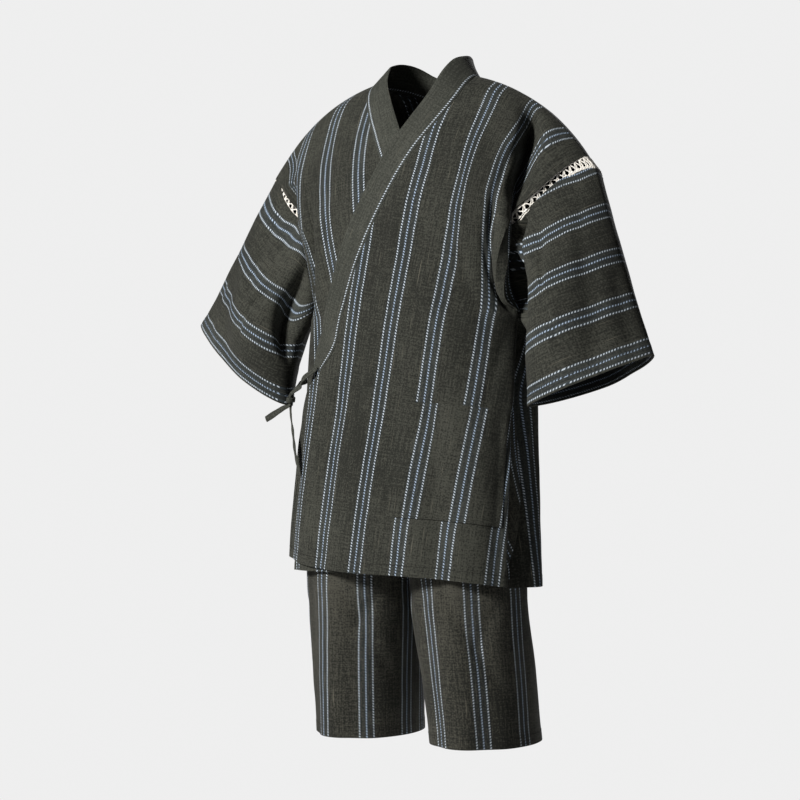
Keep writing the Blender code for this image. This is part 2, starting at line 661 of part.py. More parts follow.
def jacket_walls(jacket, side, colour, lace_colour):
    """Builds one side of the jacket but for the collar."""
    right = side == "right"
    for panel in ("front", "back"):
        grid, normals = jacket[panel, side]
        middle = pulled_in(grid, SEAM_GAP / 2, ("top", "first", "last"))
        if panel == "back":
            middle[NECK_ROWS, 0] += unit(grid[NECK_ROWS + 1, 0] - grid[NECK_ROWS, 0]) * SEAM_GAP
        wall(f"{panel}_{side}", middle, normals, grid_faces(*grid.shape[:2]), WALL, colour, mirror=right)
    sleeve, sleeve_normals = jacket["sleeve", side]
    edge, body_normals = jacket["armhole", side]
    for name, first in (("front", 0), ("back", ARMHOLE_ROWS)):
        lace(f"lace_{side}_{name}", edge, sleeve[0], body_normals, sleeve_normals[0], first, ARMHOLE_ROWS,
             lace_colour, right)
        columns = [k % len(RING_DEGREES) for k in range(first, first + ARMHOLE_ROWS + 1)]
        middle = pulled_in(sleeve[:, columns], SEAM_GAP / 2, ("top", "first", "last"))
        wall(f"sleeve_{side}_{name}", middle, sleeve_normals[:, columns], grid_faces(*middle.shape[:2]),
             WALL, colour, mirror=right)


def shorts(colour):
    panels = {name: shorts_panel(name) for name in ("front", "back")}
    front, front_normals = panels["front"]
    back, back_normals = panels["back"]
    above = front[:, 0, 1] < back[:, 0, 1] - SEAM_GAP
    for normals in (front_normals, back_normals):
        normals[above, 0] = unit(normals[above, 0] * (0.0, 1.0, 1.0))
    front_normals[~above, 0] = back_normals[~above, 0] = shared(front_normals[~above, 0], back_normals[~above, 0])
    front_normals[:, -1] = back_normals[:, -1] = shared(front_normals[:, -1], back_normals[:, -1])
    for side in ("left", "right"):
        for name, (grid, normals) in panels.items():
            wall(f"shorts_{name}_{side}", pulled_in(grid, SEAM_GAP / 2, ("top", "first", "last")), normals,
                 grid_faces(*grid.shape[:2]), WALL, colour, mirror=side == "right")


def waistband(colour):
    front, _ = shorts_panel("front")
    back, _ = shorts_panel("back")
    ring = np.concatenate((front[0], back[0][-2::-1]))
    ring = np.concatenate((ring, (ring * (-1.0, 1.0, 1.0))[-2:0:-1]))
    rows = [ring + (0.0, 0.0, WAISTBAND_HEIGHT * k / 2) for k in range(2, -1, -1)]
    grid = np.array(rows)
    grid[-1] += (0.0, 0.0, SEAM_GAP)
    normals = -grid_normals(grid, closed=True)
    wall("waistband", grid, normals, grid_faces(*grid.shape[:2], closed=True), WALL, colour)


def pocket(front, colour):
    """A patch from the left front's own points, moved out."""
    grid, normals = (points[slice(*POCKET_ROWS), slice(*POCKET_COLUMNS)] for points in front)
    wall("pocket", grid, normals, grid_faces(*grid.shape[:2]), WALL, colour, lift=WALL + SEAM_GAP)


def main():
    for item in list(bpy.data.objects):
        bpy.data.objects.remove(item)
    striped = material("striped cotton", (0.055, 0.056, 0.046))
    plain = material("plain cotton", (0.065, 0.066, 0.055))
    cream = material("lace", (0.78, 0.74, 0.62))
    jacket = {(panel, side): body_panel(panel, side) for panel in ("front", "back") for side in ("left", "right")}
    jacket["sleeve", "left"] = sleeve_grid(LEFT_SLEEVE)
    jacket["sleeve", "right"] = sleeve_grid(RIGHT_SLEEVE)
    for side in ("left", "right"):
        join_normals(jacket, side)
    band, band_normals = collar_band(jacket)
    wall("collar", band, band_normals, grid_faces(*band.shape[:2]), COLLAR_WALL, plain)
    for side in ("left", "right"):
        jacket_walls(jacket, side, striped, cream)
    pocket(jacket["front", "left"], striped)
    ties(jacket, band, band_normals, plain)
    shorts(striped)
    waistband(plain)


main()
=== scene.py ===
"""Finished looks of the striped summer set: wrap jacket, lace insertions, ties and shorts."""

import functools
import math

import bpy
import numpy as np
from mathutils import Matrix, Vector, noise


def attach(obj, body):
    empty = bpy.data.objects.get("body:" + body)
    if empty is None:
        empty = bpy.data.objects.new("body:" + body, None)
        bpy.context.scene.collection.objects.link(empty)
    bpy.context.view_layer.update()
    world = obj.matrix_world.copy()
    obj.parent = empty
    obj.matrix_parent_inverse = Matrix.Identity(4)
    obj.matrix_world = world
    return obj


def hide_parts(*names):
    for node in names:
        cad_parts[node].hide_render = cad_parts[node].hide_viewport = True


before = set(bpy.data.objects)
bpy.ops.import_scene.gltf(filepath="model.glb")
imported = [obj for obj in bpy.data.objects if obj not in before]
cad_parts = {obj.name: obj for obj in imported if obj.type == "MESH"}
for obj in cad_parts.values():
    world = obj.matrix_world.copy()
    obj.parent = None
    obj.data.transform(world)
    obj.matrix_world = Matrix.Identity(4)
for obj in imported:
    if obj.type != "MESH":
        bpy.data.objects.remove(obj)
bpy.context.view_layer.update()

# All lengths are in metres. The tables hold the wearer's left half, and MIRROR turns it over
MIRROR = (-1.0, 1.0, 1.0)
WALL = 0.002
SEAM_GAP = 0.0003
COLLAR_WIDTH = 0.042
OVERLAP_LIFT = 0.005
# Between these rows the over front rises off the under front, and between these places it comes back
OVERLAP_RISE_ROWS = (0.08, 0.4)
OVERLAP_END_PLACES = (0.62, 0.9)

# Grid of the cloth: cells across and along
ARMHOLE_ROWS = 12
TRUNK_ROWS = 18
BODY_COLUMNS = 13
SLEEVE_ROWS = 9
SHORTS_ROWS = 16
LEG_COLUMNS = 9

UNDERARM_HEIGHT = -0.34
JACKET_HEM = -0.70
HALF_GIRTH = 0.24
SLEEVE_RADIUS = 0.09
# The cloth hangs lower at each side seam than in the middle, more and more between two rows
SIDE_DROP = {"left": 0.016, "right": 0.005}
SIDE_EASE_ROWS = (1.0, 1.3)

# The jacket along its middle, from the shoulder line (0) to the underarm (1)
CENTRE = {
    "row": (0.0, 1 / 12, 2 / 12, 3 / 12, 4 / 12, 5 / 12, 6 / 12, 8 / 12, 10 / 12, 1.0),
    "front": (0.000, -0.022, -0.037, -0.050, -0.063, -0.075, -0.083, -0.093, -0.098, -0.100),
    "front_height": (0.012, -0.004, -0.028, -0.055, -0.083, -0.112, -0.142, -0.207, -0.273, -0.340),
    "back": (0.000, 0.028, 0.049, 0.060, 0.069, 0.076, 0.081, 0.087, 0.088, 0.084),
    "back_height": (0.012, 0.006, -0.006, -0.026, -0.052, -0.082, -0.114, -0.186, -0.262, -0.340),
}

# The jacket below the underarm, one column for each section
TRUNK = {
    "height": (-0.34, -0.40, -0.46, -0.53, -0.60, -0.66, -0.70),
    "half_width": (0.180, 0.185, 0.188, 0.192, 0.196, 0.199, 0.200),
    "front": (-0.100, -0.101, -0.104, -0.112, -0.120, -0.127, -0.130),
    "back": (0.084, 0.081, 0.079, 0.078, 0.078, 0.080, 0.082),
    "seam_angle": (82.0, 78.0, 75.0, 73.0, 71.0, 70.0, 70.0),
}

# How far a section has turned where it meets the armhole, from the shoulder line to the underarm
ARMHOLE_TURN = {
    "row": (0.0, 0.25, 0.5, 0.75, 1.0),
    "front": (58.0, 62.0, 70.0, 78.0, 82.0),
    "back": (58.0, 64.0, 76.0, 90.0, 98.0),
}
# The power by which a section falls away from its middle, and what is added to it at the edge
SHOULDER_BOW = (2.0, 0.8)

# The line on which the collar is sewn to a front, then the front's free edge below the collar
FRONT_EDGE = {
    "height": (-0.70, -0.60, -0.50, -0.45, -0.42, -0.393, -0.339)
    + (-0.259, -0.182, -0.11, -0.056, -0.028, 0.02),
    "across": (-0.183, -0.177, -0.170, -0.158, -0.124, -0.096, -0.076)
    + (-0.046, -0.008, 0.030, 0.063, 0.078, 0.090),
}
UNDER_FRONT_REACH = 0.5
COLLAR_TRUNK_ROWS = 4
NECK_ROWS = 3
NECK_HALF_WIDTH = 0.090
NECK_BACK = 0.0599
# Places that the search for a front's and a back's edge tries, and what still counts as the middle seam
FRONT_SEARCH = (1.0, -1.1, 106)
BACK_SEARCH = (1.0, 0.0, 51)
NOUGHT = 1e-6

# How far the collar's ends drop, in how many rows, then how much the band rises from the cloth, along its
# way from an end (0) to the middle back (1)
COLLAR_END_DROP = 0.020
COLLAR_DROP_ROWS = 4
COLLAR_LIFT = {
    "way": (0.0, 0.4, 0.6, 0.7, 0.8, 0.9, 1.0),
    "degrees": (-6.0, -5.0, 0.0, 8.0, 28.0, 54.0, 66.0),
}

# Rings round an arm, each from its upper fold by the front to its lower fold and back. Mirrored on the right
ARMHOLE = {
    "upper": (0.262, 0.002, -0.124),
    "front": (0.1725, -0.061, -0.216),
    "back": (0.222, 0.078, -0.214),
}
RING_SQUARENESS = 1.25
RING_CORNERS = ("upper", "front", "lower", "back")
LEFT_SLEEVE = {
    "along": (0.0, 0.5, 1.0),
    "upper": ((0.277, -0.001, -0.1405), (0.328, -0.024, -0.265), (0.386, -0.046, -0.398)),
    "front": ((0.190, -0.051, -0.228), (0.256, -0.104, -0.325), (0.296, -0.116, -0.440)),
    "lower": ((0.191, -0.023, -0.355), (0.206, -0.055, -0.408), (0.218, -0.080, -0.466)),
    "back": ((0.236, 0.072, -0.230), (0.264, 0.054, -0.334), (0.292, 0.010, -0.438)),
}
RIGHT_SLEEVE = {
    "along": (0.0, 0.5, 1.0),
    "upper": ((0.277, -0.001, -0.1405), (0.335, 0.000, -0.243), (0.414, 0.012, -0.342)),
    "front": ((0.190, -0.051, -0.228), (0.256, -0.085, -0.325), (0.281, -0.066, -0.424)),
    "lower": ((0.191, -0.023, -0.355), (0.200, -0.040, -0.408), (0.206, -0.042, -0.464)),
    "back": ((0.236, 0.072, -0.230), (0.280, 0.066, -0.340), (0.318, 0.046, -0.428)),
}

# Soft folds of the body: a row for each, with its line from one end to the other
BODY_FOLDS = (
    # panel, sides, row and place at one end, row and place at the other, half width, depth
    ("front", "left", 0.00, 0.615, 0.62, 1.125, 0.015, -0.042),
    ("front", "left", 0.05, 0.580, 0.60, 1.240, 0.012, -0.020),
    ("front", "left right", 0.40, 0.80, 1.04, 0.935, 0.013, -0.016),
    ("front", "right", 0.00, 0.78, 0.50, 1.06, 0.010, -0.022),
    ("front", "right", 0.05, 0.74, 0.75, 0.98, 0.014, 0.006),
    ("front", "left right", 0.55, 0.50, 1.30, 0.66, 0.020, -0.004),
    ("front", "left right", 1.15, 0.30, 2.00, 0.42, 0.022, -0.005),
    ("front", "left right", 1.25, 0.08, 2.00, 0.12, 0.024, -0.003),
    ("front", "left right", 1.20, 0.78, 2.00, 0.82, 0.018, -0.005),
    ("back", "left right", 0.35, 0.86, 1.10, 0.80, 0.016, -0.010),
    ("back", "left right", 0.90, 0.52, 2.00, 0.60, 0.024, -0.006),
    ("back", "left right", 1.10, 0.20, 2.00, 0.26, 0.026, -0.005),
)
# Shares of a fold's line where it has faded in and starts to fade out, then the least share of it that
# pushes straight out and the share that pushes sideways
FOLD_FADES = (0.35, 0.65)
FOLD_LEAST = 0.3
FOLD_SIDEWAYS = 0.5

# Soft folds of a sleeve: way along and degrees round at one end, the same at the other, half width, depth
SLEEVE_FOLDS = (
    (-0.30, 92.0, 0.55, 158.0, 0.020, -0.028),
    (0.35, 40.0, 1.05, 62.0, 0.018, -0.005),
    (0.0, 250.0, 0.75, 222.0, 0.020, -0.010),
    (0.45, 318.0, 1.05, 300.0, 0.018, -0.005),
)

# The shorts, a section for each height, from the waist to the leg's hem
SHORTS = {
    "height": (-0.40, -0.46, -0.54, -0.61, -0.66, -0.685, -0.70, -0.76, -0.84, -0.94),
    "leg_centre": (0.0, 0.0, 0.008, 0.034, 0.066, 0.0850, 0.0870, 0.0890, 0.0940, 0.0985),
    "half_width": (0.142, 0.158, 0.162, 0.142, 0.108, 0.0850, 0.0845, 0.0830, 0.0780, 0.0730),
    "front": (-0.084, -0.088, -0.095, -0.101, -0.105, -0.106, -0.106, -0.102, -0.095, -0.086),
    "back": (0.050, 0.051, 0.052, 0.053, 0.054, 0.055, 0.056, 0.067, 0.086, 0.104),
}
WAISTBAND_HEIGHT = 0.034
SHORTS_FOLDS = (
    # panel, degrees round the leg, height at its top, width in degrees, depth
    ("front", 38.0, -0.58, 16.0, -0.006),
    ("front", -22.0, -0.66, 14.0, -0.005),
    ("back", 30.0, -0.60, 18.0, -0.006),
    ("back", -30.0, -0.68, 16.0, -0.005),
)
# Height over which such a fold sets in below its top
SHORTS_FOLD_FADE = 0.12

# Pocket on the left front: the first and past the last of that front's rows and columns
POCKET_ROWS = (18, 27)
POCKET_COLUMNS = (7, 13)

# Ties of the right waist: points along each strip from the knot's upper side on, and its width at each
TIE_WALL = 0.0016
TIE_SEAT = 0.008
# Steps across a strip and between two of its points, its crown and waves, and how its edges thin out
TIE_STEPS = 9
TIE_CROWN = 0.0004
TIE_WAVE = 0.00035
TIE_WAVE_PACE = 260.0
TIE_ROUNDING = 1.15
COLLAR_TIE = {
    "points": (
        (-0.158, -0.078, -0.427), (-0.171, -0.0665, -0.438), (-0.1882, -0.0665, -0.450),
        (-0.1899, -0.0665, -0.4645), (-0.200, -0.0685, -0.4695), (-0.2145, -0.0705, -0.478),
        (-0.2285, -0.072, -0.486),
    ),
    "facing": ((-0.5, -1, 0.4), (-0.3, -1, 0.2)) + ((0.0, -1, 0.0),) * 2 + ((0.3, -1, 0.3),) * 3,
    "width": (0.010, 0.0075, 0.0045, 0.0045, 0.0075, 0.0095, 0.0095),
}
SIDE_TIE = {
    "points": (
        (-0.1872, -0.045, -0.434), (-0.1882, -0.056, -0.4425), (-0.1882, -0.0635, -0.450),
        (-0.1899, -0.0635, -0.4645), (-0.1880, -0.066, -0.478), (-0.1815, -0.070, -0.504),
        (-0.1719, -0.0775, -0.535), (-0.1620, -0.0815, -0.561), (-0.1610, -0.0815, -0.5665),
    ),
    "facing": ((-1, -0.5, 0.2), (-0.5, -1, 0.2), (0.0, -1, 0.0), (0.0, -1, 0.0)) + ((-0.7, -0.8, 0.0),) * 5,
    "width": (0.010, 0.0065, 0.0045, 0.0045, 0.007, 0.011, 0.012, 0.0115, 0.008),
}
SIDE_TIE_ROW = ARMHOLE_ROWS + 4
KNOT_PLACE = (-0.1890, -0.0650, -0.457)
KNOT_AXIS = (0.12, 0.0, 1.0)
KNOT_LENGTH = 0.0075
KNOT_INNER = 0.0042
KNOT_OUTER = 0.0068
KNOT_TURNS = 40
KNOT_SECTION = 24
KNOT_SLANT = 0.0011
KNOT_DENT = 0.0004


@functools.lru_cache(maxsize=None)
def table_slopes(knots, values):
    """A table's columns in rising order, with the slope at each."""
    knots = np.array(knots, float)
    values = np.array(values, float)
    if knots[0] > knots[-1]:
        knots, values = knots[::-1], values[::-1]
    return knots, values, np.gradient(values, knots, axis=0)


def between(knots, values, at):
    """Smooth values between the columns of a table."""
    knots, values, slope = table_slopes(tuple(knots), tuple(values))
    at = min(max(at, knots[0]), knots[-1])
    k = int(min(max(np.searchsorted(knots, at) - 1, 0), len(knots) - 2))
    step = knots[k + 1] - knots[k]
    t = (at - knots[k]) / step
    rise = 3 * t**2 - 2 * t**3
    bend_in = t**3 - 2 * t**2 + t
    bend_out = t**3 - t**2
    ends = values[k] * (1 - rise) + values[k + 1] * rise
    return ends + step * (bend_in * slope[k] + bend_out * slope[k + 1])


def unit(vectors):
    """The same vectors at a length of 1."""
    length = np.linalg.norm(vectors, axis=-1, keepdims=True)
    return vectors / np.maximum(length, 1e-12)


def ramp(value, start, end):
    """0 before start and 1 after end, smooth between."""
    t = min(max((value - start) / (end - start), 0.0), 1.0)
    return t * t * (3 - 2 * t)


def ring_point(upper, front, lower, back, degrees):
    """A point of a ring round an arm that passes through four given points."""
    upper, front, lower, back = (np.asarray(p, float) for p in (upper, front, lower, back))
    middle = (upper + lower) / 2
    turn = math.radians(degrees)
    side = front if math.sin(turn) >= 0 else back
    up = math.copysign(abs(math.cos(turn)) ** RING_SQUARENESS, math.cos(turn))
    out = abs(math.sin(turn)) ** RING_SQUARENESS
    return middle + (upper - lower) / 2 * up + (side - middle) * out


def trunk_height(row):
    """Height of a trunk row: 1 is the underarm and 2 the hem."""
    return UNDERARM_HEIGHT + (row - 1) * (JACKET_HEM - UNDERARM_HEIGHT)


@functools.lru_cache(maxsize=None)
def side_seam(row, side):
    """Where the front meets the back below the underarm."""
    height = trunk_height(row)
    front = between(TRUNK["height"], TRUNK["front"], height)
    back = between(TRUNK["height"], TRUNK["back"], height)
    half_width = between(TRUNK["height"], TRUNK["half_width"], height)
    seam = math.radians(between(TRUNK["height"], TRUNK["seam_angle"], height))
    drop = SIDE_DROP[side] * ramp(row, *SIDE_EASE_ROWS)
    middle, depth = (front + back) / 2, (back - front) / 2
    return np.array((half_width * math.sin(seam), middle - depth * math.cos(seam), height - drop))


def armhole(degrees, side):
    """A point of the body's edge at the armhole: 0 is the shoulder, 90 the front, 180 the underarm."""
    return ring_point(ARMHOLE["upper"], ARMHOLE["front"], side_seam(1.0, side), ARMHOLE["back"], degrees)


def fold_depth(panel, side, row, place):
    """How far the soft folds of a panel push its cloth out at a point."""
    depth = 0.0
    for name, sides, row_a, place_a, row_b, place_b, width, fold in BODY_FOLDS:
        if name != panel or side not in sides:
            continue
        t = (row - row_a) / (row_b - row_a)
        fade = ramp(t, 0.0, FOLD_FADES[0])
        if row_b < 2.0:
            fade *= 1 - ramp(t, FOLD_FADES[1], 1.0)
        if fade:
            across = (place - place_a - (place_b - place_a) * t) * HALF_GIRTH
            depth += fold * fade * math.exp(-((across / width) ** 2))
    return depth


@functools.lru_cache(maxsize=None)
def row_section(panel, row, side):
    """The edge, turn, depth and height of one row of the jacket."""
    if row <= 1:
        edge = armhole(180 * row if panel == "front" else 360 - 180 * row, side)
        turn = math.radians(between(ARMHOLE_TURN["row"], ARMHOLE_TURN[panel], row))
        return (edge, turn, between(CENTRE["row"], CENTRE[panel], row),
                between(CENTRE["row"], CENTRE[panel + "_height"], row))
    height = trunk_height(row)
    turn = math.radians(between(TRUNK["height"], TRUNK["seam_angle"], height))
    return (side_seam(row, side), turn if panel == "front" else math.pi - turn,
            between(TRUNK["height"], TRUNK[panel], height), height)


def body_point(panel, row, place, side):
    """A point of the jacket on the left half. Place 0 is the middle and 1 the armhole or side seam."""
    edge, turn, depth, height = row_section(panel, row, side)
    across = abs(place)
    angle = across * turn
    part = math.sin(angle) / math.sin(turn)
    fall = (math.cos(angle) - math.cos(turn)) / (1 - math.cos(turn))
    bow = SHOULDER_BOW[0] + SHOULDER_BOW[1] * min(part, 1.0)
    x = edge[0] * part
    y = edge[1] + (depth - edge[1]) * fall
    z = edge[2] + (height - edge[2]) * (1 - min(part, 1.0) ** bow)
    if place < 0:
        z += 2 * (height - z)
    fold = fold_depth(panel, side, row, across)
    y += (-fold if panel == "front" else fold) * max(math.cos(angle), FOLD_LEAST)
    x += fold * math.sin(min(angle, math.pi / 2)) * FOLD_SIDEWAYS
    return np.array((math.copysign(x, place) if place else 0.0, y, z))


def crossing(places, beyond):
    """Where a falling row of values passes nought, between the places it is worked out for."""
    k = int(np.argmax(beyond < 0))
    t = beyond[k - 1] / (beyond[k - 1] - beyond[k])
    return places[k - 1] + t * (places[k] - places[k - 1])


def front_edge_place(row, side):
    """Where a front ends across: at the collar's seam or, lower down, at its free edge."""
    places = np.linspace(*FRONT_SEARCH)
    points = [body_point("front", row, p, side) for p in places]
    limit = np.array([between(FRONT_EDGE["height"], FRONT_EDGE["across"], p[2]) for p in points])
    if side == "right":
        limit = np.maximum(limit, limit * UNDER_FRONT_REACH)
    return crossing(places, np.array([p[0] for p in points]) - limit)


def back_edge_place(row, side):
    """Where a back ends across: at the neckline or, below it, at the middle seam."""
    if row == 0:
        return front_edge_place(row, side)
    places = np.linspace(*BACK_SEARCH)
    points = np.array([body_point("back", row, p, side) for p in places])
    deep = np.clip(points[:, 1] / NECK_BACK, 0.0, 1.0)
    beyond = points[:, 0] - NECK_HALF_WIDTH * np.sqrt(1 - deep**2)
    return 0.0 if beyond[-1] >= -NOUGHT else crossing(places, beyond)


# The visual cloth: cells for each cell of the tables' grid
FINE_ARMHOLE = 6
FINE_TRUNK = 4
FINE_COLUMNS = 6
FINE_SLEEVE = 6
FINE_SHORTS = 5
UNDERARM_ROW = ARMHOLE_ROWS * FINE_ARMHOLE

# Thicknesses and widths of plain cloth and hems, then the step at a hem and the groove that its stitches pull
CLOTH = 0.0010
HEM_CLOTH = 0.0022
HEM = 0.017
EDGE_HEM = 0.011
HEM_STITCH = 0.0145
EDGE_STITCH = 0.0085
HEM_STEP = 0.0012
HEM_GROOVE = 0.0010
HEM_GROOVE_IN = 0.0025
HEM_GROOVE_WIDTH = 0.0011
# Faces that meet at more than this are shaded with an edge
SHARP_ANGLE = math.radians(50)
# The lines of a grid at each of its edges, and the lines beside them
EDGE_LINES = {
    "top": (0, 1),
    "first": (np.s_[:, 0], np.s_[:, 1]),
    "last": (np.s_[:, -1], np.s_[:, -2]),
}
# A back's edge point this near the middle lies on the middle seam
BACK_SEAM_NEAR = 1e-9

# Stripes: groups of three dotted lines, the gap between two lines, and the way across to the armhole
# from the group that a panel's stripes are counted from. A row is measured at so many places
STRIPE_PITCH = 0.068
LINE_GAP = 0.0100
ARMHOLE_ACROSS = 0.18
MEASURED_PLACES = 45
# How far that group lies from the middle line, at each row
STRIPE_PLACES = {
    ("front", "left"): (
        (0.0, 0.15, 0.3, 0.45, 0.6, 0.8, 1.0, 1.25, 1.5, 1.75, 2.0),
        (0.132, 0.129, 0.122, 0.118, 0.108, 0.096, 0.081, 0.067, 0.054, 0.043, 0.035),
    ),
    ("front", "right"): (
        (0.0, 0.3, 0.5, 0.65, 0.85, 1.0, 1.25, 1.5, 1.75, 2.0),
        (0.132, 0.138, 0.128, 0.118, 0.100, 0.085, 0.070, 0.054, 0.043, 0.035),
    ),
    ("back", "left"): ((0.0, 0.5, 1.0, 2.0), (0.132, 0.115, 0.100, 0.100)),
    ("back", "right"): ((0.0, 0.5, 1.0, 2.0), (0.132, 0.115, 0.100, 0.100)),
}
# Between the groups beside each tuck the cloth draws together: by how much at each row, and between
# which places
DRAWN_IN = {
    "left": ((0.0, 0.15, 0.27, 0.45, 0.7, 1.0), (0.006, 0.010, 0.020, 0.022, 0.012, 0.0)),
    "right": ((0.0, 1.0), (0.0, 0.0)),
}
DRAWN_PLACES = (0.45, 0.75)
SLEEVE_FIRST_GROUP = 0.014
# The deep tuck near each armhole takes up cloth: its place at rows, and half its width
TUCKS = {
    ("front", "left"): ((0.0, 0.15, 0.27, 0.36, 0.46, 2.0), (0.60, 0.70, 0.80, 0.88, 0.95, 0.95), 0.05),
    ("front", "right"): ((0.0, 0.10, 0.22, 0.40, 2.0), (0.80, 0.86, 0.95, 0.95, 0.95), 0.05),
    ("back", "left"): ((0.0, 2.0), (0.80, 0.80), 0.20),
    ("back", "right"): ((0.0, 2.0), (0.80, 0.80), 0.20),
}
SHORTS_GROUP = {"left": 0.047, "right": 0.020}
POCKET_SHIFT = 0.011
COLLAR_LINE = 0.0045

# The line of each grid along which the way along the stripes is measured, and the steepest slant of
# the others
WOVEN_COLUMN = 36
WOVEN_RING = 24
STEEPEST = 3.0

# Slack of the cloth: height of its fine crinkle, size and share of its two waves, and each piece's seed
CRINKLE = 0.0005
CRINKLE_WAVES = ((0.032, 1.0), (0.075, 1.6))
CRINKLE_SEEDS = {
    "body_left": 3.0, "body_right": 9.0, "sleeve_left": 1.0, "sleeve_right": 7.0,
    "shorts_left": 11.0, "shorts_right": 13.0, "collar": 5.0, "pocket": 17.0,
}
# Ways from the shoulder, the back's middle seam, the lace and the shorts' seams over which it sets in
SHOULDER_STILL = 0.04
BACK_SEAM_STILL = 0.02
SLEEVE_STILL = 0.12
SHORTS_STILL = 0.03

# Creases that the solids are too coarse for: shares of a line where each has faded in and starts to fade
# out, and the share of a sleeve over which its creases set in
CREASE_FADES = (0.3, 0.7)
SLEEVE_CREASE_START = 0.05
BODY_CREASES = (
    # panel, side, row and place at one end, row and place at the other, half width, depth
    ("front", "left", 0.10, 0.70, 0.62, 0.82, 0.006, -0.0030),
    ("front", "left", 0.30, 0.93, 0.85, 0.80, 0.008, 0.0035),
    ("front", "left", 0.42, 0.95, 1.06, 0.93, 0.012, 0.0100),
    ("front", "left", 0.55, 0.72, 1.05, 0.88, 0.007, -0.0030),
    ("front", "left", 0.80, 0.35, 1.30, 0.60, 0.016, -0.0020),
    ("front", "left", 1.02, 0.80, 1.45, 0.60, 0.012, -0.0025),
    ("front", "left", 1.25, 0.95, 1.75, 0.80, 0.010, -0.0022),
    ("front", "left", 1.45, 0.20, 2.00, 0.10, 0.014, 0.0020),
    ("front", "right", 0.12, 0.50, 0.80, 0.62, 0.010, -0.0022),
    ("front", "right", 0.35, 0.76, 1.00, 0.90, 0.008, -0.0030),
    ("front", "right", 0.60, 0.40, 1.30, 0.55, 0.014, -0.0022),
    ("front", "right", 1.10, 0.85, 1.60, 0.65, 0.012, -0.0025),
    ("back", "left", 0.20, 0.70, 0.90, 0.90, 0.012, -0.0030),
    ("back", "left", 0.85, 0.90, 1.35, 0.60, 0.014, -0.0030),
    ("back", "left", 1.30, 0.80, 2.00, 0.85, 0.012, -0.0025),
    ("back", "left", 1.00, 0.10, 1.80, 0.20, 0.016, -0.0025),
    ("back", "right", 0.25, 0.65, 0.95, 0.88, 0.012, -0.0028),
    ("back", "right", 0.80, 0.92, 1.30, 0.55, 0.013, -0.0032),
    ("back", "right", 1.35, 0.76, 2.00, 0.70, 0.013, -0.0025),
    ("back", "right", 1.05, 0.14, 1.70, 0.05, 0.015, -0.0022),
)
# Below each armhole the side seam sinks in behind the front's edge: way in, and how far at rows
SIDE_FOLD_WAY = (-0.97, 0.24, 0.0)
SIDE_FOLD = {
    "left": ((0.94, 1.06, 1.9, 2.0), (0.0, 0.028, 0.028, 0.024)),
    "right": ((1.3, 1.5, 2.0), (0.0, 0.016, 0.016)),
}
SIDE_FOLD_WIDTH = {"front": 0.014, "back": 0.034}
# Above it the left front turns in sharply at the armhole: way in, how far at rows, and half its width
TURN_IN_WAY = (-0.80, 0.60, 0.0)
TURN_IN = ((0.46, 0.58, 0.88, 0.99), (0.0, 0.034, 0.034, 0.0))
TURN_IN_WIDTH = 0.007
SLEEVE_CREASES = {
    # way along and degrees round at one end, the same at the other, half width, depth
    "left": (
        (-0.06, 55.0, 0.30, 140.0, 0.010, -0.0180),
        (-0.14, 90.0, 0.46, 160.0, 0.022, -0.0500),
        (-0.14, 130.0, 0.50, 172.0, 0.024, -0.0450),
        (0.02, 60.0, 0.50, 96.0, 0.008, -0.0030),
        (0.25, 110.0, 0.85, 84.0, 0.010, -0.0030),
        (0.10, 30.0, 0.60, 52.0, 0.010, -0.0020),
        (0.50, 20.0, 1.05, 30.0, 0.012, -0.0025),
        (0.05, 135.0, 0.45, 165.0, 0.008, -0.0035),
        (0.02, 215.0, 0.55, 190.0, 0.010, -0.0035),
        (0.30, 300.0, 0.95, 270.0, 0.012, -0.0030),
    ),
    "right": (
        (0.02, 50.0, 0.55, 84.0, 0.008, -0.0030),
        (0.20, 110.0, 0.80, 76.0, 0.010, -0.0035),
        (0.30, 20.0, 1.05, 34.0, 0.012, -0.0030),
        (0.05, 140.0, 0.50, 160.0, 0.008, -0.0035),
        (0.05, 230.0, 0.60, 205.0, 0.010, -0.0035),
        (0.35, 290.0, 0.95, 318.0, 0.012, -0.0030),
    ),
}
SHORTS_CREASES = {
    # place round the leg at one end and way down, the same at the other, half width, depth
    "left": (
        (-0.02, 0.50, 0.10, 0.92, 0.010, -0.0030),
        (0.16, 0.55, 0.22, 1.05, 0.014, -0.0035),
        (0.09, 0.60, 0.04, 0.78, 0.008, -0.0025),
        (-0.09, 0.52, -0.05, 0.75, 0.008, -0.0030),
        (-0.20, 0.50, -0.16, 1.05, 0.014, -0.0035),
    ),
    "right": (
        (0.02, 0.50, -0.10, 0.88, 0.010, -0.0030),
        (0.14, 0.55, 0.18, 1.05, 0.014, -0.0035),
        (-0.08, 0.58, -0.02, 0.74, 0.008, -0.0028),
        (0.08, 0.62, 0.12, 0.80, 0.008, -0.0022),
        (-0.21, 0.50, -0.15, 1.05, 0.014, -0.0035),
    ),
}


def ramps(values, start, end):
    """ramp() for an array of values."""
    t = np.clip((values - start) / (end - start), 0.0, 1.0)
    return t * t * (3 - 2 * t)


def grid_normals(grid, closed=False):
    """Unit normals of a grid of points. A closed grid's rows are rings."""
    if closed:
        across = np.roll(grid, -1, axis=1) - np.roll(grid, 1, axis=1)
    else:
        across = np.gradient(grid, axis=1)
    return unit(np.cross(across, np.gradient(grid, axis=0)))


def lengths(grid, axis):
    """Distance along each row (axis 1) or column (axis 0) of a grid, from its first point."""
    steps = np.linalg.norm(np.diff(grid, axis=axis), axis=-1)
    pad = [(0, 0), (0, 0)]
    pad[axis] = (1, 0)
    return np.cumsum(np.pad(steps, pad), axis=axis)


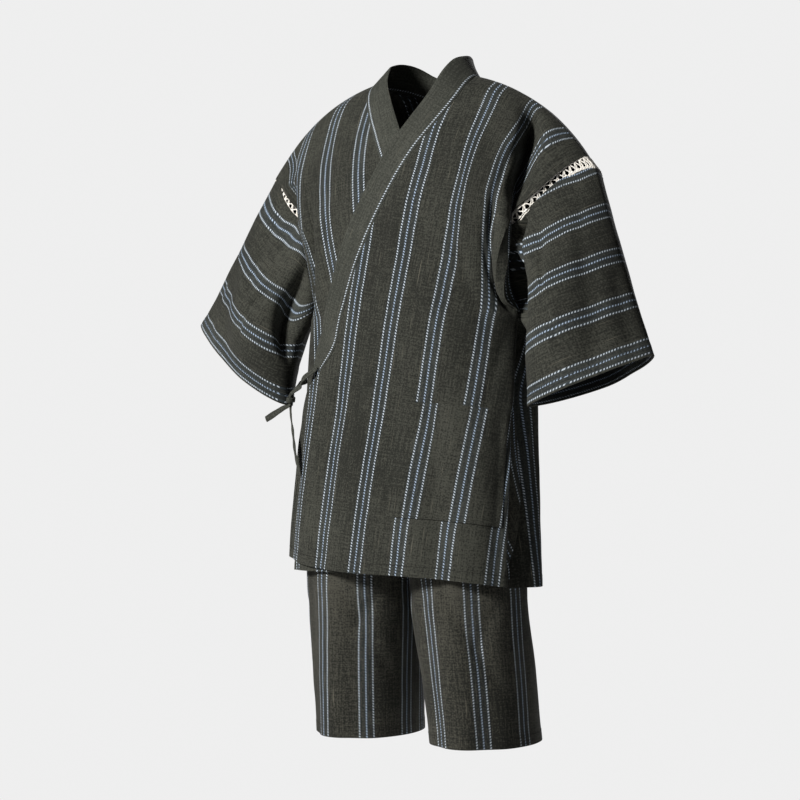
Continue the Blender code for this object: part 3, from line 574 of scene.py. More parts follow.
def summed(values, axis):
    """Running sum of the steps along a grid, from nought at its first points."""
    values = np.moveaxis(values, axis, 0)
    total = np.concatenate((np.zeros_like(values[:1]), np.cumsum((values[:-1] + values[1:]) / 2, axis=0)))
    return np.moveaxis(total, 0, axis)


def woven(grid, across, main, start):
    """Way along the stripes: lengths along one line of the grid, carried to the others without a slant."""
    other = 1 - main
    step, beside = np.gradient(grid, axis=main), np.gradient(grid, axis=other)
    slope = np.gradient(across, axis=main) / np.gradient(across, axis=other)
    way = unit(step - beside * np.clip(slope, -STEEPEST, STEEPEST)[..., None])
    line = summed(np.sum(step * way, axis=-1), main).take([start], axis=other)
    shift = summed(np.sum(beside * way, axis=-1), other)
    return line + shift - shift.take([start], axis=other)


def bell(values, width):
    """1 at nought, falling off smoothly over a half width on both sides."""
    return np.exp(-((values / width) ** 2))


def crinkle(grid, piece):
    """Small uneven waves of slack cloth."""
    shift = Vector((CRINKLE_SEEDS[piece], 0.0, 0.0))
    waves = []
    for point in grid.reshape(-1, 3):
        at = Vector(point) + shift
        waves.append(sum(noise.noise(at / size) * share for size, share in CRINKLE_WAVES) * CRINKLE)
    return np.array(waves).reshape(grid.shape[:2])


def crease_depth(along, across, creases):
    """Depth of soft troughs: each runs between two points, given along and across, with a half width."""
    depth = np.zeros(np.broadcast(along, across).shape)
    for along_a, across_a, along_b, across_b, width, fold in creases:
        t = (along - along_a) / (along_b - along_a)
        fade = ramps(t, 0.0, CREASE_FADES[0]) * (1 - ramps(t, CREASE_FADES[1], 1.0))
        depth = depth + fold * fade * bell(across - across_a - (across_b - across_a) * t, width)
    return depth


def fine_rows():
    """Rows of the fine cloth, from the shoulder line (0) by the underarm (1) to the hem (2)."""
    upper = np.linspace(0.0, 1.0, UNDERARM_ROW + 1)
    lower = np.linspace(1.0, 2.0, TRUNK_ROWS * FINE_TRUNK + 1)[1:]
    return np.concatenate((upper, lower))


def fine_row(row):
    """Number of the fine row at a row of the tables' grid, from the underarm down."""
    return UNDERARM_ROW + (row - ARMHOLE_ROWS) * FINE_TRUNK


def stripes_across(panel, side, row, line):
    """Way across the stripes at the places of a row, from the middle of its first group."""
    measured = np.linspace(min(line[0], 0.0), 1.0, MEASURED_PLACES)
    arc = lengths(np.array([[body_point(panel, row, place, side) for place in measured]]), 1)[0]
    arc -= np.interp(0.0, measured, arc)
    middle = between(*STRIPE_PLACES[panel, side], row)
    stretch = (ARMHOLE_ACROSS - (arc[-1] - middle)) * (1 - ramp(row, *SIDE_EASE_ROWS))
    drawn = np.interp(row, *DRAWN_IN[side]) if panel == "front" else 0.0
    tuck_rows, tuck_places, half = TUCKS[panel, side]
    tuck = np.interp(row, tuck_rows, tuck_places)
    taken = (stretch - drawn) * ramps(line, tuck - half, tuck + half) + drawn * ramps(line, *DRAWN_PLACES)
    return np.interp(line, measured, arc) - middle + taken


def body_panel(panel, side):
    """One front or back: points, outward normals and stripe coordinates, in left-hand coordinates."""
    rows = fine_rows()
    edge_place = front_edge_place if panel == "front" else back_edge_place
    outward = -1.0 if panel == "front" else 1.0
    left_front = (panel, side) == ("front", "left")
    count = BODY_COLUMNS * FINE_COLUMNS + 1
    places = np.array([np.linspace(edge_place(row, side), 1.0, count) for row in rows])
    lines = tuple(zip(rows, places))
    across = np.array([stripes_across(panel, side, row, line) for row, line in lines])
    grid = np.array([[body_point(panel, row, place, side) for place in line] for row, line in lines])
    inside = (1 - places) * HALF_GIRTH
    if left_front:
        turned = bell(inside, TURN_IN_WIDTH) * np.interp(rows, *TURN_IN)[:, None]
        grid = grid + turned[..., None] * TURN_IN_WAY
    sunk = bell(inside, SIDE_FOLD_WIDTH[panel]) * np.interp(rows, *SIDE_FOLD[side])[:, None]
    grid = grid + sunk[..., None] * SIDE_FOLD_WAY
    normals = grid_normals(grid) * outward
    if left_front:
        rise = ramps(rows[:, None], *OVERLAP_RISE_ROWS) * (1 - ramps(places, *OVERLAP_END_PLACES))
        grid += normals * (OVERLAP_LIFT * rise)[..., None]
    creases = [
        (row_a, place_a * HALF_GIRTH, row_b, place_b * HALF_GIRTH, width, depth)
        for name, whose, row_a, place_a, row_b, place_b, width, depth in BODY_CREASES
        if (name, whose) == (panel, side)
    ]
    still = ramps(lengths(grid, 0), 0.0, SHOULDER_STILL)
    if panel == "back":
        still = still * ramps(places * HALF_GIRTH, 0.0, BACK_SEAM_STILL)
    bump = (crease_depth(rows[:, None], places * HALF_GIRTH, creases) + crinkle(grid, "body_" + side)) * still
    grid += normals * bump[..., None]
    normals = grid_normals(grid) * outward
    seam = places[:, 0] == 0
    normals[seam, 0] = unit(normals[seam, 0] * (0.0, 1.0, 1.0))
    uv = np.stack((across, woven(grid, across, 0, WOVEN_COLUMN) * outward), axis=-1)
    return {"grid": grid, "normals": normals, "uv": uv, "down": lengths(grid, 0)}


def joined_body(front, back):
    """One length of cloth over the shoulder, from the front hem to the back hem."""
    grid, normals, uv = (np.concatenate((front[k][::-1], back[k][1:])) for k in ("grid", "normals", "uv"))
    seat = len(front["grid"]) - 1
    normals[seat] = unit(front["normals"][0] + back["normals"][0])
    hem = np.concatenate(((front["down"][-1] - front["down"])[::-1], (back["down"][-1] - back["down"])[1:]))
    return {"grid": grid, "normals": normals, "uv": uv, "hem": hem, "seat": seat}


def hem_thickness(distance, width=HEM):
    """Thickness of cloth whose edge is folded twice, from the distance to that edge."""
    folded = 1 - ramps(distance, width - HEM_STEP, width + HEM_STEP)
    groove = bell(distance - (width - HEM_GROOVE_IN), HEM_GROOVE_WIDTH)
    return CLOTH + (HEM_CLOTH - CLOTH) * folded - HEM_GROOVE * groove * folded


def pulled_in(grid, *edges):
    """The same grid with the named edges moved inwards along the cloth by half a seam's gap."""
    grid = grid.copy()
    for edge in edges:
        rim, beside = EDGE_LINES[edge]
        grid[rim] += unit(grid[beside] - grid[rim]) * (SEAM_GAP / 2)
    return grid


def shell(name, made, thickness, material, closed=False, mirror=False):
    """A thin closed shell round a grid of points, with rims and a UV map in metres."""
    grid, uv = made["grid"], made["uv"]
    rows, columns = grid.shape[:2]
    offset = made["normals"] * (np.broadcast_to(thickness, (rows, columns)) / 2)[..., None]
    points = np.concatenate(((grid + offset).reshape(-1, 3), (grid - offset).reshape(-1, 3)))
    if mirror:
        points = points * MIRROR
    vertex = np.arange(rows * columns).reshape(rows, columns)
    if closed:
        vertex = np.concatenate((vertex, vertex[:, :1]), axis=1)
    seats = np.arange(vertex.size).reshape(vertex.shape)
    count = seats.size
    outer = np.stack((seats[:-1, :-1], seats[1:, :-1], seats[1:, 1:], seats[:-1, 1:]), axis=-1).reshape(-1, 4)
    borders = [(seats[0, :-1], seats[0, 1:]), (seats[-1, 1:], seats[-1, :-1])]
    if not closed:
        borders += [(seats[1:, 0], seats[:-1, 0]), (seats[:-1, -1], seats[1:, -1])]
    rims = [np.stack((a, b, b + count, a + count), axis=-1) for a, b in borders]
    faces = np.concatenate([outer, outer[:, (0, 3, 2, 1)] + count, *rims])
    numbers = np.concatenate((vertex.ravel(), vertex.ravel() + rows * columns))
    map_uv = np.concatenate((uv.reshape(-1, 2), uv.reshape(-1, 2)))
    return mesh_piece(name, points, faces, numbers, map_uv, material)


def mesh_piece(name, points, faces, numbers, map_uv, material):
    """A piece from faces of seats: each seat has a point's number and a place in the UV map."""
    quads = points[numbers[faces]]
    first = np.cross(quads[:, 1] - quads[:, 0], quads[:, 2] - quads[:, 0])
    second = np.cross(quads[:, 2] - quads[:, 0], quads[:, 3] - quads[:, 0])
    if np.sum(quads[:, 0] * (first + second)) < 0:
        faces = faces[:, (0, 3, 2, 1)]
    mesh = bpy.data.meshes.new(name)
    mesh.from_pydata(points.tolist(), [], numbers[faces].tolist())
    layer = mesh.uv_layers.new(name="cloth")
    layer.data.foreach_set("uv", map_uv[faces].ravel())
    mesh.shade_smooth()
    mesh.set_sharp_from_angle(angle=SHARP_ANGLE)
    mesh.materials.append(material)
    return linked(name, mesh)


def linked(name, data):
    """An object of the scene for a mesh, a lamp or a camera."""
    item = bpy.data.objects.new(name, data)
    bpy.context.scene.collection.objects.link(item)
    return item


def dress(piece, slot, *nodes):
    """Ties a finished piece to the part: its body, and hides the nodes that it stands for. Its finish, the
    slot, is not used.
    """
    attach(piece, "root")
    if nodes:
        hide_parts(*nodes)
    return piece


# Collar: distances across the band, its double cloth, and how often its line and its turning are evened out
COLLAR_ACROSS = (0.0, 0.002, 0.004, 0.008, 0.013, 0.019, 0.025, 0.031, 0.036, 0.039, 0.0408, 0.0417, 0.042)
COLLAR_CLOTH = 0.0028
COLLAR_SMOOTHING = 4
COLLAR_TURN_SMOOTHING = 24
COLLAR_STITCH = 0.0018
COLLAR_CRINKLE = 0.7
# Its edges are round over a distance and down to a share, and the sewn edge keeps more of its cloth
COLLAR_ROUNDING = 0.0022
COLLAR_THINNEST = 0.12
COLLAR_SEAM_BAND = 0.004
COLLAR_SEAM_SHARE = 0.7
# At the middle back the collar's lower edge laps over the neckline: how far, half that stretch, and shares
COLLAR_LAP = 0.0044
COLLAR_LAP_REACH = 0.028
COLLAR_LAP_SHARES = (1.0, 0.5, 0.2)


def smoothed(values, times):
    """Rows of values, evened out along their way. The ends stay."""
    for _ in range(times):
        inside = (values[:-2] + 2 * values[1:-1] + values[2:]) / 4
        values = np.concatenate((values[:1], inside, values[-1:]))
    return values


def collar_half(jacket, side):
    """Seam points, normals and ways off the cloth from the collar's end to the middle back."""
    front, back = jacket["front", side], jacket["back", side]
    last = UNDERARM_ROW + COLLAR_TRUNK_ROWS * FINE_TRUNK
    neck = NECK_ROWS * FINE_ARMHOLE

    def along_edge(values):
        return np.concatenate((values(front)[last::-1], values(back)[1:neck + 1]))

    parts = [
        along_edge(lambda panel: panel["grid"][:, 0]),
        along_edge(lambda panel: panel["normals"][:, 0]),
        unit(along_edge(lambda panel: panel["grid"][:, 0] - panel["grid"][:, FINE_COLUMNS])),
    ]
    return [part * MIRROR for part in parts] if side == "right" else parts


def collar_band(jacket):
    """Rows of points and normals from the left front's waist round the neck to the right's, and the ways."""
    left, right = collar_half(jacket, "left"), collar_half(jacket, "right")
    middle = len(left[0]) - 1
    seam, normal, off = (np.concatenate((a, b[-2::-1])) for a, b in zip(left, right))
    normal[middle] = unit(normal[middle] * (0.0, 1.0, 1.0))
    off[middle] = (0.0, -1.0, 0.0)
    seam = smoothed(seam, COLLAR_SMOOTHING)
    normal = unit(smoothed(normal, COLLAR_TURN_SMOOTHING))
    way = np.concatenate(([0.0], np.cumsum(np.linalg.norm(np.diff(seam, axis=0), axis=1))))
    away = unit(np.cross(normal, np.gradient(seam, axis=0)))
    away *= np.sign(np.sum(away * off, axis=1, keepdims=True))
    away = unit(smoothed(away, COLLAR_TURN_SMOOTHING))
    across = np.array(COLLAR_ACROSS) + SEAM_GAP / 2 * (1 - np.array(COLLAR_ACROSS) / COLLAR_WIDTH)
    rows, normals = [], []
    for i in range(len(seam)):
        share = min(way[i], way[-1] - way[i]) / way[middle]
        rise = math.radians(between(COLLAR_LIFT["way"], COLLAR_LIFT["degrees"], share))
        direction = away[i] * math.cos(rise) + normal[i] * math.sin(rise)
        face = unit(normal[i] * math.cos(rise) - away[i] * math.sin(rise))
        rows.append([seam[i] + direction * a for a in across])
        normals.append([unit(normal[i] + face)] + [face] * (len(across) - 1))
    rows, normals = np.array(rows), np.array(normals)
    lap = COLLAR_LAP * bell(way - way[middle], COLLAR_LAP_REACH)
    for k, share in enumerate(COLLAR_LAP_SHARES):
        rows[:, k] -= away * (lap * share)[:, None]
    for step in range(COLLAR_DROP_ROWS):
        drop = COLLAR_END_DROP * (1 - step / COLLAR_DROP_ROWS) * (across - across[0]) / COLLAR_WIDTH
        for i in (step, -1 - step):
            rows[i, :, 2] -= drop
    rows += normals * (crinkle(rows, "collar") * COLLAR_CRINKLE)[..., None]
    return rows, normals, way, across


def collar(jacket, cloth):
    """The collar band with its stitches, and its rows and normals for the tie at its end."""
    rows, normals, way, across = collar_band(jacket)
    uv = np.stack(np.meshgrid(across - COLLAR_LINE + LINE_GAP, way), axis=-1)
    made = {"grid": rows, "normals": normals, "uv": uv}
    edge = np.minimum(across - across[0], across[-1] - across)
    rounded = COLLAR_CLOTH * np.sqrt(np.clip(edge / COLLAR_ROUNDING, COLLAR_THINNEST, 1.0))
    full = np.maximum(rounded, COLLAR_CLOTH * COLLAR_SEAM_SHARE)
    rounded = np.where(across < COLLAR_SEAM_BAND, full, rounded)
    piece = shell("collar_cloth", made, rounded[None, :], cloth)
    place = np.interp(COLLAR_STITCH, across - across[0], np.arange(len(across)))
    lines = [seam_line(made, np.arange(1, len(rows) - 1), place, COLLAR_CLOTH / 2 - STITCH_SINK)]
    return piece, rows, normals, lines


def sleeve_grid(table, side):
    """Rings of a sleeve from the lace to the cuff, each from the underarm by the back to the underarm."""
    degrees = ring_degrees(2 * UNDERARM_ROW)
    alongs = np.linspace(0.0, 1.0, SLEEVE_ROWS * FINE_SLEEVE + 1)
    grid = []
    for along in alongs:
        corners = [between(table["along"], table[name], along) for name in RING_CORNERS]
        grid.append([ring_point(*corners, turn) for turn in degrees])
    grid = np.array(grid)
    normals = grid_normals(grid, closed=True)
    place = np.radians(degrees)[None, :] * SLEEVE_RADIUS
    folds, creases = (
        crease_depth(alongs[:, None], place, [
            (along_a, math.radians(turn_a) * SLEEVE_RADIUS, along_b,
             math.radians(turn_b) * SLEEVE_RADIUS, *size)
            for along_a, turn_a, along_b, turn_b, *size in table_rows
        ])
        for table_rows in (SLEEVE_FOLDS, SLEEVE_CREASES[side])
    )
    creases = creases * ramps(alongs, 0.0, SLEEVE_CREASE_START)[:, None]
    bump = folds + creases + crinkle(grid, "sleeve_" + side) * ramps(alongs, 0.0, SLEEVE_STILL)[:, None]
    plain = grid + normals * (bump - creases)[..., None]
    grid = grid + normals * bump[..., None]
    ring = np.concatenate((plain, plain[:, :1]), axis=1)
    up = lengths(ring[::-1], 0)[::-1]
    uv = np.stack((up - SLEEVE_FIRST_GROUP, woven(ring, up, 1, WOVEN_RING)), axis=-1)
    return {"grid": grid, "normals": grid_normals(grid, closed=True), "uv": uv, "hem": up[:, :-1]}


# The sleeve's top lies over part of the lace: degrees round from the shoulder by the front, and that share
COVERED = {
    "left": ((0, 25, 40, 78, 98, 168, 186, 360), (0.0, 0.0, 0.22, 0.38, 0.80, 0.80, 0.0, 0.0)),
    "right": ((0, 25, 45, 60, 75, 110, 168, 186, 335, 360),
              (0.92, 0.85, 0.50, 0.50, 0.80, 0.95, 0.95, 0.0, 0.0, 0.92)),
}
COVERED_WAY = 0.24
# How far the cap sags over the lace, by rows of the front counted from the shoulder
CAP_SAG = {
    "left": ((0.0, 0.10, 0.22, 0.45, 0.60, 1.0), (0.0, 0.004, 0.009, 0.010, 0.006, 0.0)),
    "right": ((0.0, 0.05, 0.3, 0.5, 0.62, 1.0), (0.0, 0.004, 0.004, 0.004, 0.002, 0.0)),
}
# Round the armpit it lifts off the lace: how far, the degrees over which that sets in and where it ends
COVERED_LIFT = 0.002
ARMPIT_DEGREES = (70.0, 95.0)
ARMPIT_END = 270


def ring_degrees(count):
    """Degrees of a ring's points: it begins at the underarm and runs by the back to the shoulder."""
    return (180.0 + 360.0 * np.arange(count) / count) % 360.0


def cap_reach(side, degrees):
    """How far the cap sags over the lace, by degrees round from the shoulder by the front."""
    return np.where(degrees <= 180, np.interp(degrees / 180, *CAP_SAG[side]), 0.0)


def armhole_ring(jacket, side, values):
    """The body's edge round the armhole, from the underarm by the back, the shoulder and the front."""
    front, back = jacket["front", side][values], jacket["back", side][values]
    return np.concatenate((back[UNDERARM_ROW:0:-1, -1], front[:UNDERARM_ROW, -1]))


def covering(grid, jacket, side):
    """The sleeve's grid with its top drawn over a part of the lace."""
    degrees = ring_degrees(grid.shape[1])
    round_share = np.interp(degrees, *COVERED[side])
    down_share = 1 - ramps(np.linspace(0.0, 1.0, len(grid)), 0.0, COVERED_WAY)
    reach = (armhole_ring(jacket, side, "grid") - grid[0]) * round_share[:, None]
    rise = COVERED_LIFT * ramps(degrees, *ARMPIT_DEGREES) * (degrees < ARMPIT_END)
    lift = jacket["sleeve", side]["normals"] * rise[None, :, None] * round_share[None, :, None]
    return grid + (reach[None] + lift) * down_share[:, None, None]


def sleeve(jacket, side, cloth):
    """One sleeve and the stitches of its cuff."""
    made = dict(jacket["sleeve", side])
    made["grid"] = covering(pulled_in(made["grid"], "top"), jacket, side)
    mirror = side == "right"
    thickness = hem_thickness(made["hem"])
    piece = shell("sleeve_" + side + "_cloth", made, thickness, cloth, closed=True, mirror=mirror)
    line = hem_stitches(made, mirror)
    return piece, [np.concatenate((line, line[:1]))]


def shorts_leg(side):
    """One leg: columns from the middle by the front, the side seam and the back to the middle."""
    turns = LEG_COLUMNS * FINE_COLUMNS
    heights = np.linspace(SHORTS["height"][0], SHORTS["height"][-1], SHORTS_ROWS * FINE_SHORTS + 1)
    grid, across = [], []
    for height in heights:
        centre, half_width, front, back = (
            between(SHORTS["height"], SHORTS[name], height)
            for name in ("leg_centre", "half_width", "front", "back")
        )
        start = -math.asin(min(max(centre, 0.0) / half_width, 1.0))
        angles = start + (math.pi / 2 - start) * np.arange(turns + 1) / turns
        middle, depth = (front + back) / 2, (back - front) / 2
        row = []
        for panel, way, order in (("front", -1.0, slice(None)), ("back", 1.0, slice(-2, None, -1))):
            outward = np.zeros(len(angles))
            for name, degrees, top, width, fold in SHORTS_FOLDS:
                if name == panel:
                    fade = ramp(top - height, 0.0, SHORTS_FOLD_FADE)
                    outward += fold * fade * bell(np.degrees(angles) - degrees, width)
            x = np.maximum(centre + (half_width + outward) * np.sin(angles), 0.0)
            y = middle + way * ((depth + outward) * np.cos(angles))
            row.append(np.stack((x, y, np.full(len(x), height)), axis=-1)[order])
        line = np.concatenate(row)
        arc = lengths(line[None], 1)[0]
        grid.append(line)
        across.append(arc - np.interp(0.0, angles, arc[:turns + 1]))
    grid, across = np.array(grid), np.array(across)
    down = heights[0] - heights
    creases = [(way_a, place_a, way_b, place_b, width, depth)
               for place_a, way_a, place_b, way_b, width, depth in SHORTS_CREASES[side]]
    edge = lengths(grid, 1)
    still = ramps(np.minimum(edge, edge[:, -1:] - edge), 0.0, SHORTS_STILL)
    depth = crease_depth((down / down[-1])[:, None], across, creases)
    bump = (depth + crinkle(grid, "shorts_" + side)) * still
    grid = grid - grid_normals(grid) * bump[..., None]
    hem = np.broadcast_to((heights - heights[-1])[:, None], across.shape)
    uv = np.stack((across - SHORTS_GROUP[side], np.broadcast_to(down[:, None], across.shape)), axis=-1)
    return {"grid": grid, "normals": -grid_normals(grid), "uv": uv, "hem": hem}


def sampled(values, rows, columns):
    """Values of a grid between its points."""
    rows = np.clip(rows, 0, values.shape[0] - 1.001)
    columns = np.clip(columns, 0, values.shape[1] - 1.001)
    i, j = rows.astype(int), columns.astype(int)
    s, t = (rows - i)[:, None], (columns - j)[:, None]
    top = values[i, j] * (1 - t) + values[i, j + 1] * t
    low = values[i + 1, j] * (1 - t) + values[i + 1, j + 1] * t
    return top * (1 - s) + low * s


def seam_line(made, rows, columns, lift, mirror=False):
    """Points on the cloth's outer face, given by rows and columns of its grid."""
    rows, columns = np.broadcast_arrays(np.asarray(rows, float), np.asarray(columns, float))
    points = sampled(made["grid"], rows, columns) + unit(sampled(made["normals"], rows, columns)) * lift
    return points * MIRROR if mirror else points


def hem_stitches(made, mirror):
    """The line of stitches along a hem. Distances fall towards the hem."""
    found = []
    for line in made["hem"].T:
        order = np.argsort(line, kind="stable")
        found.append(np.interp(HEM_STITCH, line[order], order.astype(float)))
    return seam_line(made, found, np.arange(len(found)), HEM_CLOTH / 2 - STITCH_SINK, mirror)


# Lace: repeats round the armhole, thread sizes and how far its borders reach in
LACE_TURNS = 60
LACE_THREAD = 0.0009
LACE_EDGE_THREAD = 0.0011
LACE_EDGES = (0.03, 0.09, 0.15)
# Waves of the border's threads across the strip and off it, and how much the crossing threads sway
LACE_EDGE_WAVE = 0.018
LACE_WEAVE = 0.0003
LACE_SWAY = 0.13
LACE_BARS = (
    # turns that a thread runs on, share of the sway, where it starts and ends across, rise off the strip
    (0.5, 1.0, 0.13, 0.87, 0.0004),
    (-0.5, 1.0, 0.13, 0.87, -0.0004),
    (0.95, 0.0, 0.15, 0.85, 0.0002),
)
# Small loops: place in a repeat and place across, then their half sizes that way
LACE_LOOPS = ((0.25, 0.22), (0.75, 0.78))
LACE_LOOP_SIZE = (0.17, 0.07)


def lace_point(inner, outer, way, across, lift):
    """Points on the strip between two rings of points and normals. The way counts the rings' points."""
    count = len(inner[0])
    k = np.floor(way).astype(int) % count
    t = (way - np.floor(way))[:, None]
    near, near_normal, far, far_normal = (
        values[k] * (1 - t) + values[(k + 1) % count] * t for values in (*inner, *outer)
    )
    across = across[:, None]
    face = unit(near_normal + (far_normal - near_normal) * across)
    return near + (far - near) * across + face * lift[:, None]


def lace_threads():
    """Threads of the lace: each has rows of turns, shares across and lifts, and its thickness."""
    threads = []
    for edge, flip in ((0.0, 1), (1.0, -1)):
        for k, inset in enumerate(LACE_EDGES):
            turn = np.linspace(0.0, LACE_TURNS, LACE_TURNS * 6 + 1)
            wave = LACE_EDGE_WAVE * np.sin(turn * math.tau * (1.0 + 0.5 * k) + k * 2.1)
            lift = LACE_WEAVE * np.sin(turn * math.tau * 1.5 + k * 2.1)
            threads.append((turn, edge + flip * (inset + wave), lift, LACE_EDGE_THREAD))
    steps = np.linspace(0.0, 1.0, 9)
    loop = steps * math.tau
    for k in range(LACE_TURNS):
        sway = LACE_SWAY * noise.noise(Vector((k * 1.7, 0.4, 0.0)))
        for reach, swayed, low, high, rise in LACE_BARS:
            turn = k + 0.25 + (reach + swayed * sway) * steps + 0.05 * np.sin(loop + k)
            threads.append((turn, low + (high - low) * steps, rise * np.cos(loop), LACE_THREAD))
        for place, across in LACE_LOOPS:
            turn = k + place + LACE_LOOP_SIZE[0] * np.sin(loop)
            line = across + LACE_LOOP_SIZE[1] * np.cos(loop)
            threads.append((turn, line, LACE_WEAVE * np.cos(loop), LACE_THREAD))
    return threads


def thread_mesh(name, lines):
    """Open lines as edges, with each point's thickness."""
    points, edges, sizes = [], [], []
    for line, size in lines:
        at = len(points)
        points += [tuple(p) for p in line]
        sizes += [size] * len(line)
        edges += [(at + i, at + i + 1) for i in range(len(line) - 1)]
    mesh = bpy.data.meshes.new(name)
    mesh.from_pydata(points, edges, [])
    layer = mesh.attributes.new("size", "FLOAT", "POINT")
    layer.data.foreach_set("value", np.array(sizes, float))
    return linked(name, mesh)


def grown(item, tree, **inputs):
    """Runs a Geometry Nodes tree on an item and keeps the result as its plain mesh."""
    modifier = item.modifiers.new("grown", "NODES")
    modifier.node_group = tree
    for entry in tree.interface.items_tree:
        if entry.item_type == "SOCKET" and entry.in_out == "INPUT" and entry.name in inputs:
            modifier[entry.identifier] = inputs[entry.name]
    item.update_tag()
    bpy.context.view_layer.update()
    seen = item.evaluated_get(bpy.context.evaluated_depsgraph_get())
    mesh = bpy.data.meshes.new_from_object(seen)
    mesh.name = item.name
    item.modifiers.clear()
    old = item.data
    item.data = mesh
    bpy.data.meshes.remove(old)
    mesh.shade_smooth()
    return item


# How far the lace reaches in under the cap and under the sleeve's top, and how far below them
LACE_UNDER = 0.003
LACE_SINK = 0.0012
# The most of the strip that one of them may hide, and both together
LACE_MOST = 0.9
LACE_MOST_IN_ALL = 0.95


def lace(jacket, side, thread_tree, cream):
    """The lace between the cap's edge and the sleeve's top, each of which lies over a border of it."""
    made = jacket["sleeve", side]
    inner, outer = armhole_ring(jacket, side, "grid"), made["grid"][0]
    strip_normals = grid_normals(np.stack((inner, outer)), closed=True)[0]
    degrees = ring_degrees(len(inner))
    width = np.linalg.norm(outer - inner, axis=1)
    over = np.clip(cap_reach(side, degrees) / width - LACE_UNDER / width, 0.0, LACE_MOST)
    under = np.clip(np.interp(degrees, *COVERED[side]) - LACE_UNDER / width, 0.0, LACE_MOST)
    over = np.minimum(over, LACE_MOST_IN_ALL - under)
    sunk = strip_normals * -LACE_SINK
    rings = (
        (inner + (outer - inner) * over[:, None] + sunk * (over > 0)[:, None],
         unit(armhole_ring(jacket, side, "normals") + strip_normals)),
        (outer + (inner - outer) * under[:, None] + sunk * (under > 0)[:, None],
         unit(made["normals"][0] + strip_normals)),
    )
    flip = MIRROR if side == "right" else (1.0, 1.0, 1.0)
    lines = [
        (lace_point(*rings, turn * len(inner) / LACE_TURNS, across, lift) * flip, size)
        for turn, across, lift, size in lace_threads()
    ]
    return grown(thread_mesh("lace_" + side + "_threads", lines), thread_tree, Material=cream)


# Stitches, the spread of their sizes and how far they lie in the cloth
STITCH_LENGTH = 0.0024
STITCH_PITCH = 0.0034
STITCH_RADIUS = 0.0004
STITCH_SIZES = (0.85, 1.1)
STITCH_SINK = 0.0003


def spline(points, count):
    """Points along a smooth line through a few given points."""
    points = tuple(tuple(p) for p in points)
    knots = tuple(range(len(points)))
    return np.array([between(knots, points, at) for at in np.linspace(0, len(points) - 1, count)])


def strip(name, start, way, face, table, cloth):
    """A tie: a folded strip, slightly crowned, sewn on at its start and led through its table's points."""
    points = np.array([start, start + way * TIE_SEAT, *table["points"]], float)
    facing = unit(np.array([face, face, *table["facing"]], float))
    widths = np.array([[w] for w in table["width"][:1] * 2 + table["width"]])
    count = (len(points) - 1) * TIE_STEPS + 1
    points, facing, widths = spline(points, count), spline(facing, count), spline(widths, count)
    tangent = unit(np.gradient(points, axis=0))
    face = unit(facing - tangent * np.sum(facing * tangent, axis=1, keepdims=True))
    places = np.linspace(-1.0, 1.0, TIE_STEPS)[None, :]
    way = lengths(points[None], 1)[0][:, None]
    across = places * widths / 2
    crown = TIE_CROWN * (1 - places**2) + TIE_WAVE * np.sin(way * TIE_WAVE_PACE + places * 2.0)
    side = np.cross(tangent, face)
    grid = points[:, None] + side[:, None] * across[..., None] + face[:, None] * crown[..., None]
    made = {
        "grid": grid,
        "normals": np.repeat(face[:, None, :], TIE_STEPS, axis=1),
        "uv": np.stack((across + STRIPE_PITCH / 2, np.broadcast_to(way, across.shape)), axis=-1),
    }
    return shell(name, made, TIE_WALL * np.sqrt(np.clip(TIE_ROUNDING - places**2, 0.1, 1.0)), cloth)


def knot(name, cloth):
    """A flat strip wound round both ties: three soft lobes."""
    axis = unit(np.array(KNOT_AXIS))
    side = unit(np.cross(axis, (0.0, 1.0, 0.0)))
    out = np.cross(side, axis)
    turns, section = (np.linspace(0.0, math.tau, count + 1)[:-1] for count in (KNOT_TURNS, KNOT_SECTION))
    middle, depth = (KNOT_INNER + KNOT_OUTER) / 2, (KNOT_OUTER - KNOT_INNER) / 2
    points, map_uv = [], []
    for turn in turns:
        spoke = side * math.cos(turn) + out * math.sin(turn)
        slant = axis * KNOT_SLANT * math.sin(turn)
        plump = 1 + 0.10 * math.sin(3 * turn + 0.7) + 0.08 * math.sin(5 * turn)
        for around in section:
            rise = math.sin(around)
            radius = middle + depth * plump * math.cos(around) - KNOT_DENT * math.exp(-((rise / 0.2) ** 2))
            lift = KNOT_LENGTH / 2 * math.copysign(abs(rise) ** 0.8, rise) * plump
            points.append(np.array(KNOT_PLACE) + spoke * radius + axis * lift + slant)
            map_uv.append((around * 0.002 + STRIPE_PITCH / 2, turn * middle))
    seats = np.arange(len(points)).reshape(KNOT_TURNS, KNOT_SECTION)
    beside, ahead = np.roll(seats, -1, axis=1), np.roll(seats, -1, axis=0)
    faces = np.stack((seats, beside, np.roll(ahead, -1, axis=1), ahead), axis=-1).reshape(-1, 4)
    return mesh_piece(name, np.array(points), faces, np.arange(len(points)), np.array(map_uv), cloth)


def ties(jacket, rows, normals, cloth):
    """The tie sewn to the collar's end, the one sewn to the side seam, and the knot where they cross."""
    face, edge = normals[0, -1], unit(rows[0, -4] - rows[0, -1])
    fall = np.cross(edge, face)
    fall = unit(fall * -np.sign(fall[2]))
    start = rows[0, -1] + edge * TIE_SEAT + fall * SEAM_GAP
    near = strip("tie_collar_cloth", start, fall, face, COLLAR_TIE, cloth)
    panel, row = jacket["front", "right"], fine_row(SIDE_TIE_ROW)
    face = panel["normals"][row, -1] * MIRROR
    start = panel["grid"][row, -1] * MIRROR + face * (WALL / 2 + SEAM_GAP + TIE_WALL / 2)
    way = unit(np.array(SIDE_TIE["points"][0]) - start)
    way = unit(way - face * np.dot(way, face))
    return near, strip("tie_side_cloth", start, way, face, SIDE_TIE, cloth), knot("tie_knot_cloth", cloth)


